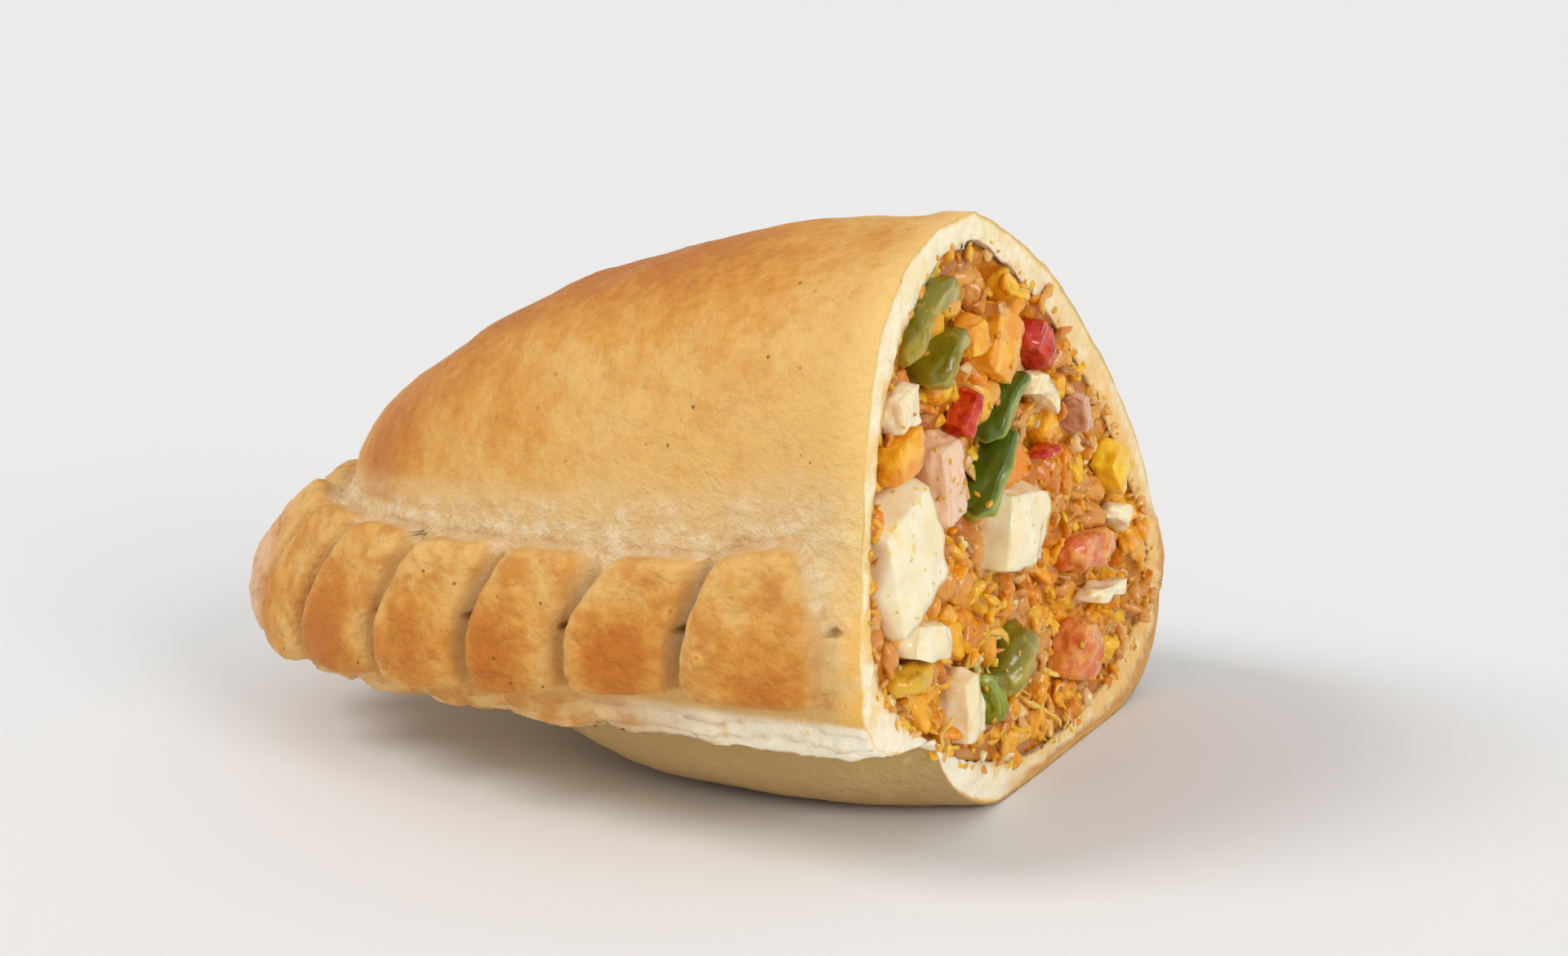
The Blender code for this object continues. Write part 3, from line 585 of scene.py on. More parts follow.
def room_inside(grid):
    """The crust's inner wall as a grid of points with the outside's rows, and a ragged mouth at the cut."""
    front_ways, back_ways = rim_ways(grid[:, 0], grid[:, -1])
    inner_s = np.concatenate([[0.0], np.geomspace(0.8, RIM_LENGTH / 2, 12)])
    inner_s = np.concatenate([inner_s, RIM_LENGTH - inner_s[-2::-1]])
    ways = front_ways[:, None] + (back_ways - front_ways)[:, None] * (inner_s / RIM_LENGTH)[None, :]
    room = cavity_point(np.broadcast_to(inner_s[None, :], ways.shape), ways)
    room[..., 0] = np.minimum(room[..., 0], -0.15)
    for column in (0, -1):
        mouth = room[:, column]
        inward = np.array([0.0, *RIM_CENTRE]) - mouth
        inward[:, 0] = 0.0
        inward /= np.linalg.norm(inward, axis=1, keepdims=True)
        ragged = 0.42 * grain(mouth, 2.6, 14) + 0.24 * grain(mouth, 1.0, 15) + 0.2
        room[1:-1, column] += (inward * np.maximum(ragged, -0.1)[:, None])[1:-1]
    return room


def crust_mesh():
    """The whole crust as one closed skin: outside, cut rim and the room inside."""
    grid, masks = crust_outside()
    rows, columns = grid.shape[:2]
    room = room_inside(grid)
    skin = skin_indices(rows, columns)
    points = skin_points(grid)
    attributes = {key: skin_points(mask) for key, mask in masks.items()}
    attributes.update(cut=[], inner=[], room=[])

    def mark(count, cut, inner, wall):
        """What the attributes are at the next points: cut, share of the way in, distance to the wall."""
        for key, value in (("cut", cut), ("inner", inner), ("room", wall)):
            attributes[key].append(np.full(count, value))

    count = 2 + (rows - 2) * columns
    mark(count, 0.0, 0.0, NO_WALL)
    corner = skin.tolist()
    faces = []
    for c in range(columns - 1):
        faces += [(0, corner[1][c], corner[1][c + 1]), (1, corner[-2][c + 1], corner[-2][c])]
    body = skin[1:-1]
    quads = np.stack([body[:-1, :-1], body[1:, :-1], body[1:, 1:], body[:-1, 1:]], axis=-1)
    faces += quads.reshape(-1, 4).tolist()

    loops = [at_the_cut(skin).tolist()]
    rim_outer, rim_inner = at_the_cut(grid), at_the_cut(room)
    around = len(rim_outer)
    for k in range(1, RIM_LOOPS + 1):
        q = k / RIM_LOOPS
        ring = rim_outer + (rim_inner - rim_outer) * q
        ring += (rim_inner - rim_outer) * (0.10 * grain(ring, 1.3, 13) * math.sin(math.pi * q))[:, None]
        face_x = 0.22 * grain(ring, 1.7, 11) + 0.18 * grain(ring, 0.7, 12) - 0.08
        rounding = EDGE_ROUND * (1 - math.sin(math.pi * min(1.0, max(0.02, q))) ** 0.35)
        ring[:, 0] = face_x * math.sin(math.pi * min(q, 0.98)) ** 0.5 - rounding
        if k == RIM_LOOPS:
            ring[:, 0] = rim_inner[:, 0]
        points.append(ring)
        loops.append(list(range(count, count + around)))
        count += around
        mark(around, 1.0 if k > 1 else 0.6, q, (1 - q) * MM if k < RIM_LOOPS else NO_WALL)
    for outer, inner in zip(loops, loops[1:]):
        faces += ring_faces(outer, inner)

    last, middle = loops[-1], room[1:-1, 1:-1]
    inside = np.empty(room.shape[:2], int)
    inside[:, 0] = last[:rows]
    inside[1:-1, -1] = last[rows:][::-1]
    inside[0, :], inside[-1, :] = last[0], last[rows - 1]
    inside[1:-1, 1:-1] = np.arange(middle[..., 0].size).reshape(middle.shape[:2]) + count
    points.append(middle.reshape(-1, 3))
    mark(middle[..., 0].size, 1.0, 1.0, NO_WALL)
    for key in masks:
        attributes[key].append(np.zeros(RIM_LOOPS * around + middle[..., 0].size))
    inside = inside.tolist()
    for upper, lower in zip(inside, inside[1:]):
        for c in range(len(upper) - 1):
            ring = (upper[c], upper[c + 1], lower[c + 1], lower[c])
            ring = tuple(v for i, v in enumerate(ring) if v != ring[i - 1])
            if len(ring) > 2:
                faces.append(ring)
    attributes = {key: np.concatenate(values) for key, values in attributes.items()}
    return mesh_piece("baked_crust", np.concatenate(points), faces, attributes, True)


# The filling


def filling_core():
    """The body of the filling, with an uneven cut face that the crumbs and pieces sit on."""
    way = np.linspace(0.0, 2.0, CORE_ROWS + 1)[:, None] + np.zeros((1, CORE_SIDES + 1))
    s = np.linspace(0.0, RIM_LENGTH, CORE_SIDES + 1)[None, :] + np.zeros((CORE_ROWS + 1, 1))
    body = cavity_point(s, way, 0.8 * GAP)
    body[..., 0] = np.minimum(body[..., 0], FACE_EDGE)
    skin = skin_indices(*way.shape)
    corner = skin.tolist()
    faces = []
    for c in range(CORE_SIDES):
        faces += [(0, corner[1][c], corner[1][c + 1]), (1, corner[-2][c + 1], corner[-2][c])]
        faces += [(upper[c], lower[c], lower[c + 1], upper[c + 1])
                  for upper, lower in zip(corner[1:-2], corner[2:-1])]
    loop = at_the_cut(body)
    around = len(loop)
    centre = np.array([-1.0, *RIM_CENTRE])
    points = skin_points(body)
    count = 2 + (CORE_ROWS - 1) * (CORE_SIDES + 1)
    room = [np.zeros(count)]
    previous = at_the_cut(skin).tolist()
    for k in range(1, CORE_RINGS):
        q = k / CORE_RINGS
        behind_edge = min(1.0, 4 * q)
        ring = loop + (centre - loop) * q
        depth = 1.4 * grain(ring, 4.6, 21) + 0.8 * grain(ring, 2.0, 22)
        ring[:, 0] = FACE_EDGE + FACE_SINK * behind_edge + depth * behind_edge
        points.append(ring)
        current = list(range(count, count + around))
        faces += ring_faces(previous, current)
        previous = current
        count += around
        room.append(np.linalg.norm(ring[:, 1:] - loop[:, 1:], axis=1))
    points.append(centre[None, :])
    room.append(np.full(1, 15.0))
    faces += [(previous[(i + 1) % around], previous[i], count) for i in range(around)]
    attributes = {"room": np.concatenate(room) * MM}
    return mesh_piece("filling_core", np.concatenate(points), faces, attributes, True)


def collected(name, works):
    """A collection of one object for each working mesh, for the scatter to pick from."""
    collection = bpy.data.collections.new(name)
    for i, work in enumerate(works):
        collection.objects.link(loose_object(f"{name}_{i}", work))
    return collection


def crumb_kinds(name, count, subdivisions, knobs, seed):
    """Several crumbs about 2 across, each a cluster of small balls run together, for the scatter to size."""
    works = []
    for i in range(count):
        chance = np.random.default_rng(100 * seed + i)
        middles = chance.normal(size=(knobs, 3))
        middles *= (chance.uniform(0.35, 0.72, knobs) / np.linalg.norm(middles, axis=1))[:, None]
        sizes = chance.uniform(0.18, 0.5, knobs)
        stretch = Vector((1.0, chance.uniform(0.55, 0.95), chance.uniform(0.5, 0.8)))
        middles, sizes = np.concatenate([middles, [[0.0, 0.0, 0.0]]]), np.append(sizes, 0.5)
        lump = bmesh.new()
        bmesh.ops.create_icosphere(lump, subdivisions=subdivisions, radius=1.0)
        for vert in lump.verts:
            along = middles @ np.array(vert.co)
            inside = sizes**2 - (middles**2).sum(1) + along**2
            reach = along + np.sqrt(np.maximum(inside, 0.0))
            vert.co = vert.co * float(reach[inside > 0].max()) * stretch
        works.append(lump)
    return collected(name, works)


def shred_kinds(name, count, thickness, sides, rings=10):
    """Curved threads with round ends, two units long, whose thickness wavers."""
    works = []
    turns = [FULL * j / sides for j in range(sides)]
    for i in range(count):
        thread = bmesh.new()
        loops = []
        for k in range(rings):
            t = k / (rings - 1) * 2 - 1
            waver = 1 + 0.35 * math.sin(5 * t + i) * math.cos(9 * t + 2 * i)
            thick = thickness * math.sqrt(max(0.03, 1 - abs(t) ** 4)) * waver
            aside = 0.35 * (1 - t * t) * math.cos(1.7 * i) + 0.14 * math.sin(4 * t + i)
            curl = Vector((t, aside, 0.25 * math.sin(2.5 * t + 2 * i)))
            ring = [curl + Vector((0, 1.3 * math.cos(a), 0.8 * math.sin(a))) * thick for a in turns]
            loops.append([thread.verts.new(spot) for spot in ring])
        for low, high in zip(loops, loops[1:]):
            for j in range(sides):
                thread.faces.new((low[j], low[(j + 1) % sides], high[(j + 1) % sides], high[j]))
        thread.faces.new(loops[0])
        thread.faces.new(loops[-1])
        bmesh.ops.recalc_face_normals(thread, faces=thread.faces)
        works.append(thread)
    return collected(name, works)


def piece_mesh(name, seed):
    """A cut piece in the form of its solid, finely faced, with soft dents, and its own local places."""
    finish, y, z, width, height, depth, turn, squareness, bend = PIECES[name]
    block = bmesh.new()
    bmesh.ops.create_cube(block, size=2.0)
    bmesh.ops.subdivide_edges(block, edges=block.edges, cuts=17, use_grid_fill=True)
    size = (depth, width, height)
    tilt = Euler((math.radians(turn), 0.0, 0.0)).to_matrix()
    place = Vector((FACE_STAND - 0.5 * depth, y, z))
    rough = 0.05 if finish == "egg_white" else 0.14
    points, local = [], []
    for vert in block.verts:
        ball = vert.co.normalized()
        shape = ball.lerp(vert.co, squareness)
        shape *= 1.0 + 0.16 * noise.noise(ball * 1.1 + Vector((seed * 3.7, 0.0, 0.0)))
        spot = Vector([0.5 * shape[i] * size[i] for i in range(3)])
        spot.z += bend * (0.25 * size[1] ** 2 * 0.5 - spot.y * spot.y)
        dent = 0.34 * noise.noise(spot * 0.6 + Vector((seed, 5.0, 0.0)))
        dent += (rough * noise.noise(spot * 1.5 - Vector((seed, 0.0, 0.0)))
                 + 0.3 * rough * noise.noise(spot * 4.0))
        spot += ball * (dent - 0.1)
        local.append(tuple(shape))
        points.append(tuple(place + tilt @ spot))
    faces = [tuple(v.index for v in face.verts) for face in block.faces]
    block.free()
    points = np.clip(points, BOX_LOW, BOX_HIGH - BOX_SPARE)
    return mesh_piece(f"{name}_cut", points, faces, {"local": np.array(local)})


# Node trees


class Tree:
    """A node tree with one way to add any node: its type, its settings, then what goes into its sockets."""

    def __init__(self, tree):
        self.tree = tree

    def add(self, kind, settings=None, **inputs):
        node = self.tree.nodes.new(kind)
        for key, value in (settings or {}).items():
            setattr(node, key, value)
        for key, value in inputs.items():
            self.feed(node, key, value)
        return node

    def feed(self, node, key, value):
        """Sets or links a socket, named with underscores for spaces, or by its number as in _0."""
        socket = node.inputs[int(key[1:]) if key[1:].isdigit() else key.replace("_", " ")]
        if isinstance(value, Value):
            value = value.socket
        if isinstance(value, bpy.types.NodeSocket):
            self.tree.links.new(value, socket)
        else:
            socket.default_value = value

    def parts(self, vector):
        """The three numbers of a vector socket."""
        return [Value(self, part) for part in self.add("ShaderNodeSeparateXYZ", Vector=vector).outputs]


class Value:
    """A number socket that Python's arithmetic turns into Math nodes."""

    def __init__(self, tree, socket):
        self.tree, self.socket = tree, socket

    def math(self, operation, *others, clamp=False):
        node = self.tree.add("ShaderNodeMath", {"operation": operation, "use_clamp": clamp}, _0=self)
        for i, other in enumerate(others):
            self.tree.feed(node, f"_{i + 1}", other)
        return Value(self.tree, node.outputs[0])

    def __add__(self, other):
        return self.math("ADD", other)

    def __sub__(self, other):
        return self.math("SUBTRACT", other)

    def __rsub__(self, other):
        return self.math("MULTIPLY", -1.0) + other

    def __mul__(self, other):
        return self.math("MULTIPLY", other)

    __radd__ = __add__
    __rmul__ = __mul__

    def over(self, limit):
        return self.math("GREATER_THAN", limit)

    def below(self, limit):
        return self.math("LESS_THAN", limit)

    def clamped(self):
        return self.math("ADD", 0.0, clamp=True)

    def ramp(self, low, high):
        """0 at low, 1 at high, smooth between them."""
        node = self.tree.add("ShaderNodeMapRange", {"interpolation_type": "SMOOTHSTEP"}, Value=self,
                             From_Min=low, From_Max=high)
        return Value(self.tree, node.outputs["Result"])


class Finish(Tree):
    """A Principled material whose colours, roughness and relief are built from values."""

    def __init__(self, name, **constants):
        self.material = bpy.data.materials.new(name)
        self.material.use_nodes = True
        super().__init__(self.material.node_tree)
        self.shader = self.tree.nodes["Principled BSDF"]
        for key, value in constants.items():
            self.feed(self.shader, key, value)
        place = self.add("ShaderNodeTexCoord").outputs["Object"]
        self.place = self.vector("SCALE", place, Scale=1.0 / MM)

    def vector(self, operation, start, **inputs):
        node = self.add("ShaderNodeVectorMath", {"operation": operation}, _0=start, **inputs)
        return node.outputs[0]

    def attribute(self, name, output="Fac"):
        return Value(self, self.add("ShaderNodeAttribute", {"attribute_name": name}).outputs[output])

    def noise(self, size, detail=3.0, rough=0.55, place=None, stretch=None):
        where = place or self.place
        if stretch:
            where = self.vector("MULTIPLY", where, _1=stretch)
        node = self.add("ShaderNodeTexNoise", Vector=where, Scale=1.0 / size, Detail=detail, Roughness=rough)
        return Value(self, node.outputs["Fac"])

    def cells(self, size, feature="F1"):
        node = self.add("ShaderNodeTexVoronoi", {"feature": feature}, Vector=self.place, Scale=1.0 / size)
        return Value(self, node.outputs["Distance"])

    def blend(self, low, high, factor):
        node = self.add("ShaderNodeMix", {"data_type": "RGBA"}, _0=factor)
        for key, colour in (("_6", low), ("_7", high)):
            self.feed(node, key, (*colour, 1.0) if isinstance(colour, tuple) else colour)
        return node.outputs[2]

    def layers(self, colour, *over):
        """A colour with others laid over it, each given with how much of it shows."""
        for tint, amount in over:
            colour = self.blend(colour, tint, amount)
        return colour

    def colour(self, socket):
        self.feed(self.shader, "Base_Color", socket)

    def roughness(self, value):
        self.feed(self.shader, "Roughness", value)

    def relief(self, height, distance, strength=1.0):
        """Relief from a height value, where 1 is the distance in millimetres."""
        node = self.add("ShaderNodeBump", Strength=strength, Distance=distance * MM, Height=height)
        self.feed(self.shader, "Normal", node.outputs["Normal"])


# Finishes


def crust_finish():
    """Baked dough: browning, flour, fat and painted shade in the creases, pits and underside on the outside, and
    the pale, moist dough of the cut.
    """
    f = Finish("baked_dough", Subsurface_Weight=0.2, Subsurface_Scale=0.0014,
               Subsurface_Radius=(1.0, 0.5, 0.2), Specular_IOR_Level=0.2)
    baked, flour, crease, pit, seam, lip, sheet, crimp, under, cut, inner = (
        f.attribute(name) for name in "baked flour crease pit seam lip sheet crimp under cut inner".split()
    )
    x, y, z = f.parts(f.place)
    broad, medium, powder = f.noise(9.0, 2.0), f.noise(2.6, 4.0, 0.6), f.noise(1.6, 5.0, 0.75)
    fine, pores = f.noise(0.8, 4.0, 0.65), f.noise(0.33, 2.0)

    brown = (baked * 1.05 + (broad - 0.5) * 0.5 + (medium - 0.5) * 0.7 + (fine - 0.5) * 0.65).clamped()
    faint = f.noise(0.75, 3.0, 0.6).ramp(0.54, 0.68) * f.noise(3.4, 2.0).ramp(0.45, 0.6)
    freckles = f.cells(1.3).ramp(0.17, 0.05) * f.noise(5.0, 1.0).ramp(0.52, 0.66)
    mottle = f.cells(1.3, "SMOOTH_F1").ramp(0.2, 0.5) * medium.ramp(0.42, 0.6)
    pinholes = f.cells(1.9).ramp(0.075, 0.045) * f.noise(4.0, 1.0).ramp(0.5, 0.58)
    dusted = ((flour * 1.1 + (fine - 0.5) * 1.2 * flour.ramp(0.0, 0.3)) * (1 - baked * seam * 0.3)).clamped()
    near_cut = x.ramp(26.0, 29.3) * (1 - crimp * 0.7)
    fat = x.ramp(26.8, 29.3) * z.ramp(26.0, 12.0) * medium.ramp(0.32, 0.56)
    tip = x.ramp(-22.0, -26.0) * z.ramp(21.0, 15.0) * powder.ramp(0.34, 0.54)
    tan_lip = f.blend((0.80, 0.50, 0.19), (0.66, 0.29, 0.06), medium.ramp(0.42, 0.62))
    pale_lip = f.blend((1.0, 0.92, 0.72), (0.90, 0.68, 0.36), medium.ramp(0.56, 0.70))
    lip_colour = f.blend(tan_lip, pale_lip, x.ramp(6.0, 20.0))

    # From pale dough over golden to brown, then flour, painted shade in the creases and pits, and the tints by
    # the cut and on the lip
    outside = f.layers(
        (0.735, 0.45, 0.15),
        ((0.67, 0.31, 0.055), brown.ramp(0.06, 0.6)),
        ((0.60, 0.34, 0.12), faint * 0.4),
        ((0.50, 0.15, 0.013), brown.ramp(0.42, 1.05)),
        ((0.40, 0.14, 0.02), freckles * 0.6),
        ((0.54, 0.19, 0.022), mottle * (crimp * 0.5 + 0.1)),
        ((0.22, 0.10, 0.03), pinholes * 0.8),
        ((0.74, 0.52, 0.26), dusted * 0.85),
        ((0.83, 0.67, 0.44), (dusted * dusted * 0.9 * powder.ramp(0.42, 0.66)).clamped()),
        ((0.46, 0.30, 0.15), (dusted * 0.55 * powder.ramp(0.40, 0.30)).clamped()),
        # painted shade in the creases along and above the crimps
        ((0.44, 0.17, 0.03), (crease * (0.25 + medium * 0.5)).clamped()),
        # near-black painted shade in the pits
        ((0.16, 0.05, 0.012), (pit * 1.2).ramp(0.35, 0.8) * 0.9),
        ((0.90, 0.62, 0.22), near_cut * 0.6),
        ((0.86, 0.40, 0.02), fat * 0.75),
        (lip_colour, (lip * (0.75 + fine * 0.4) * (1 - crimp)).clamped()),
        ((1.0, 0.92, 0.74), lip.ramp(0.1, 0.5) * x.ramp(25.5, 28.6) * 0.85),
        ((0.56, 0.27, 0.07), (sheet * medium.ramp(0.3, 0.6) * 0.55).clamped()),
        ((0.80, 0.55, 0.37), tip * 0.7),
    )

    # The underside, darker partly as painted shade and partly from browning, in two browns with pale floury spots
    underside = f.layers(
        (0.55, 0.37, 0.15),
        ((0.45, 0.22, 0.05), (brown * 0.9 + medium * 0.3 - 0.2).ramp(0.1, 0.9)),
        ((0.72, 0.51, 0.25), f.noise(1.9, 3.0, 0.6).ramp(0.6, 0.68) * broad.ramp(0.45, 0.6) * 0.6),
    )

    # The cut dough: cream, soaked orange towards the filling, pale at the near corner, toasted at the far one
    room_wall = inner.ramp(0.93, 1.0)
    juice = inner * 1.2 - 0.62 + (medium - 0.5) * 2.4 + y.ramp(0.0, -18.0) * 0.1
    juice = (juice + y.ramp(6.0, 20.0) * 0.55 - z.ramp(30.0, 39.0) * 0.5).clamped()
    soaked_side = y.ramp(-10.0, -18.0) * z.ramp(34.0, 28.0) * z.ramp(9.5, 13.0) * medium.ramp(0.35, 0.6)
    far_side = y.ramp(-4.0, 3.0) * z.ramp(41.0, 38.0) * medium.ramp(0.3, 0.6)
    toasted = (inner + (fine - 0.5) * 0.7).ramp(0.6, 0.2) * z.ramp(17.0, 10.0) * y.ramp(-5.0, 3.0)
    section = f.layers(
        (1.0, 0.90, 0.66),
        ((0.94, 0.70, 0.34), (fine * 0.7 + medium * 0.5 + y.ramp(0.0, 12.0) * 0.12).ramp(0.5, 0.85)),
        ((0.90, 0.42, 0.03), juice.ramp(0.0, 0.8) * (0.85 - room_wall * 0.3)),
        ((0.93, 0.68, 0.32), room_wall * 0.8 * medium.ramp(0.62, 0.42)),
        ((0.93, 0.60, 0.16), soaked_side * 0.7),
        ((0.92, 0.66, 0.31), far_side * 0.6),
        ((1.0, 0.91, 0.72), z.ramp(13.0, 9.5) * y.ramp(-5.0, -9.0) * 0.75),
        ((0.60, 0.27, 0.06), toasted * 0.9),
    )
    # The underside's colour, partly painted shade, covers the belly and the band under the crimps
    f.colour(f.layers(outside, (underside, under * (1 - lip)), (section, cut.ramp(0.2, 0.9))))
    f.roughness(0.6 - brown * 0.16 + (fine - 0.5) * 0.15 + dusted * 0.15)
    leather = f.cells(1.1, "SMOOTH_F1") * (0.25 + crimp * 0.5) + f.cells(0.55) * crimp * 0.3
    height = fine * 0.7 + pores * 0.35 + medium * 0.5 + leather + powder * seam * 0.8 - pinholes * 0.5
    f.relief(height, 0.36, 0.9)
    return f.material


def wet_finish(name, low, high, size=1.2, spots=None, rough=0.3, radius=(1.0, 0.4, 0.15), subsurface=0.2,
               depth=0.12, stripes=None, skin=None, deeper=None):
    """A moist cut food: two colours mixed unevenly, with optional sauce, fibres and a skin on one side."""
    f = Finish(name, Subsurface_Weight=subsurface, Subsurface_Scale=0.0012, Subsurface_Radius=radius,
               Coat_Weight=0.25, Coat_Roughness=0.12, Specular_IOR_Level=0.5)
    medium, fine = f.noise(size, 4.0, 0.6), f.noise(size * 0.3, 3.0)
    mixed = medium
    local = f.attribute("local", "Vector").socket
    if stripes:
        mixed = medium * 0.35 + f.noise(0.16, 1.0, 0.4, local, stripes) * 0.75
    colour = f.blend(low, high, mixed.ramp(0.38, 0.64))
    if skin:
        colour = f.blend(colour, skin, (f.parts(local)[2] + (medium - 0.5) * 0.8).ramp(0.25, 0.6))
    if deeper:
        colour = f.blend(colour, deeper, f.parts(f.place)[2].ramp(18.0, 14.0))
    if spots:
        tint, amount = spots
        smears = f.noise(1.7, 3.0, 0.6).ramp(0.56 - amount, 0.72 - amount) * 0.8
        drops = f.cells(0.9).ramp(0.26, 0.1) * f.noise(3.0, 1.0).ramp(0.5, 0.6)
        colour = f.blend(colour, tint, (smears + drops).clamped())
    f.colour(colour)
    f.roughness(rough + (fine - 0.5) * 0.25)
    f.relief(fine * 0.5 + mixed * 0.5, depth, 0.7)
    return f.material


def crumb_finish(name, stops, rough=0.3, depth=0.18, zone=None):
    """Cooked crumbs whose colour runs through three stops, from lump to lump and within each."""
    f = Finish(name, Subsurface_Weight=0.35, Subsurface_Scale=0.0012, Subsurface_Radius=(1.0, 0.4, 0.15),
               Coat_Weight=0.6, Coat_Roughness=0.12, Specular_IOR_Level=0.25)
    medium, fine = f.noise(1.4, 4.0, 0.6), f.noise(0.35, 3.0, 0.6)
    shade = (f.attribute("tint") * 0.65 + medium * 0.55 + (fine - 0.5) * 0.35 - 0.1).clamped()
    colour = f.layers(stops[0], (stops[1], shade.ramp(0.15, 0.5)), (stops[2], shade.ramp(0.5, 0.9)))
    if zone:
        colour = f.blend(colour, zone, f.noise(5.5, 2.0, 0.5).ramp(0.47, 0.6) * 0.75)
    f.colour(colour)
    f.roughness(rough + (fine - 0.5) * 0.3)
    f.relief(fine * 0.6 + medium * 0.4 - f.cells(0.45, "SMOOTH_F1") * 0.9, depth, 0.9)
    return f.material


# The scatter

SCATTER_NUMBERS = ("Spacing", "Share", "Smallest", "Largest", "Clearance", "Farthest", "Lift", "Flatness",
                   "Low Edge", "High Edge", "Knife", "Near Wall")
MOST_TO_A_SQUARE_METRE = 6.0e6


def scatter_tree():
    """Geometry nodes that strew lumps over a surface, clear of other pieces, with named inputs and a seed."""
    tree = bpy.data.node_groups.new("strewn_crumbs", "GeometryNodeTree")
    kinds = {"Surface": "Geometry", "Lumps": "Collection", "Clear Of": "Object"}
    kinds.update(dict.fromkeys(SCATTER_NUMBERS, "Float"), Seed="Int", Finish="Material")
    for name, kind in kinds.items():
        tree.interface.new_socket(name, in_out="INPUT", socket_type=f"NodeSocket{kind}")
    tree.interface.new_socket("Crumbs", in_out="OUTPUT", socket_type="NodeSocketGeometry")
    t = Tree(tree)
    given = t.add("NodeGroupInput").outputs

    def chance(kind, seed, **inputs):
        return t.add("FunctionNodeRandomValue", {"data_type": kind}, Seed=seed, **inputs).outputs

    # Points on what faces the cut
    position = t.add("GeometryNodeInputPosition").outputs[0]
    x, y, z = t.parts(position)
    facing = t.parts(t.add("GeometryNodeInputNormal").outputs[0])[0].over(0.15)
    strewn = t.add("GeometryNodeDistributePointsOnFaces", {"distribute_method": "POISSON"},
                   Mesh=given["Surface"], Selection=facing, Distance_Min=given["Spacing"],
                   Density_Max=MOST_TO_A_SQUARE_METRE, Seed=given["Seed"])

    # Those that are too near a piece, past an edge or over the share are dropped
    target = t.add("GeometryNodeObjectInfo", {"transform_space": "ORIGINAL"}, Object=given["Clear Of"])
    near = t.add("GeometryNodeProximity", {"target_element": "FACES"}, _0=target.outputs["Geometry"])
    distance = Value(t, near.outputs["Distance"])
    lot = Value(t, chance("FLOAT", given["Seed"], ID=t.add("GeometryNodeInputIndex").outputs[0])[1])
    room = Value(t, t.add("GeometryNodeInputNamedAttribute", {"data_type": "FLOAT"}, Name="room").outputs[0])
    drop = distance.below(given["Clearance"]) + distance.over(given["Farthest"]) + lot.over(given["Share"])
    drop = drop + z.below(given["Low Edge"]) + z.over(given["High Edge"]) + room.over(given["Near Wall"])
    kept = t.add("GeometryNodeDeleteGeometry", {"domain": "POINT"}, Geometry=strewn.outputs["Points"],
                 Selection=drop.over(0.5))
    tinted = t.add("GeometryNodeStoreNamedAttribute", {"data_type": "FLOAT", "domain": "POINT"},
                   Geometry=kept.outputs[0], Name="tint", Value=chance("FLOAT", 11)[1])

    # A lump on each, turned and sized by chance, and smaller by the wall
    size = Value(t, chance("FLOAT", 31, _2=given["Smallest"], _3=given["Largest"])[1])
    fitted = size.math("MINIMUM", room * 0.8 + 0.0010)
    out = t.add("ShaderNodeCombineXYZ", X=given["Lift"]).outputs[0]
    lifted = t.add("GeometryNodeSetPosition", Geometry=tinted.outputs[0], Offset=out)
    lumps = t.add("GeometryNodeCollectionInfo", Collection=given["Lumps"], Separate_Children=True,
                  Reset_Children=True)
    whole = t.add("ShaderNodeCombineXYZ", X=fitted, Y=fitted, Z=fitted * given["Flatness"]).outputs[0]
    lumped = t.add("GeometryNodeInstanceOnPoints", Points=lifted.outputs[0], Instance=lumps.outputs[0],
                   Pick_Instance=True, Rotation=chance("FLOAT_VECTOR", 23, _1=(FULL,) * 3)[0], Scale=whole)

    # Cut off where the knife went
    real = t.add("GeometryNodeRealizeInstances", Geometry=lumped.outputs[0])
    trimmed = t.add("ShaderNodeCombineXYZ", X=x.math("MINIMUM", given["Knife"]), Y=y, Z=z).outputs[0]
    sliced = t.add("GeometryNodeSetPosition", Geometry=real.outputs[0], Position=trimmed)
    done = t.add("GeometryNodeSetMaterial", Geometry=sliced.outputs[0], Material=given["Finish"])
    t.add("NodeGroupOutput", Crumbs=done.outputs[0])
    return tree


def strew(name, tree, surface, inputs):
    """Runs the scatter on a surface and returns its crumbs as one plain mesh object."""
    carrier = placed("carrier", surface.data)
    modifier = carrier.modifiers.new("strewn", "NODES")
    modifier.node_group = tree
    sockets = {item.name: item.identifier for item in tree.interface.items_tree if item.in_out == "INPUT"}
    for key, value in inputs.items():
        modifier[sockets[key]] = value
    bpy.context.view_layer.update()
    data = bpy.data.meshes.new_from_object(carrier.evaluated_get(bpy.context.evaluated_depsgraph_get()))
    made = placed(name, data)
    data.shade_smooth()
    bpy.data.objects.remove(carrier)
    return made


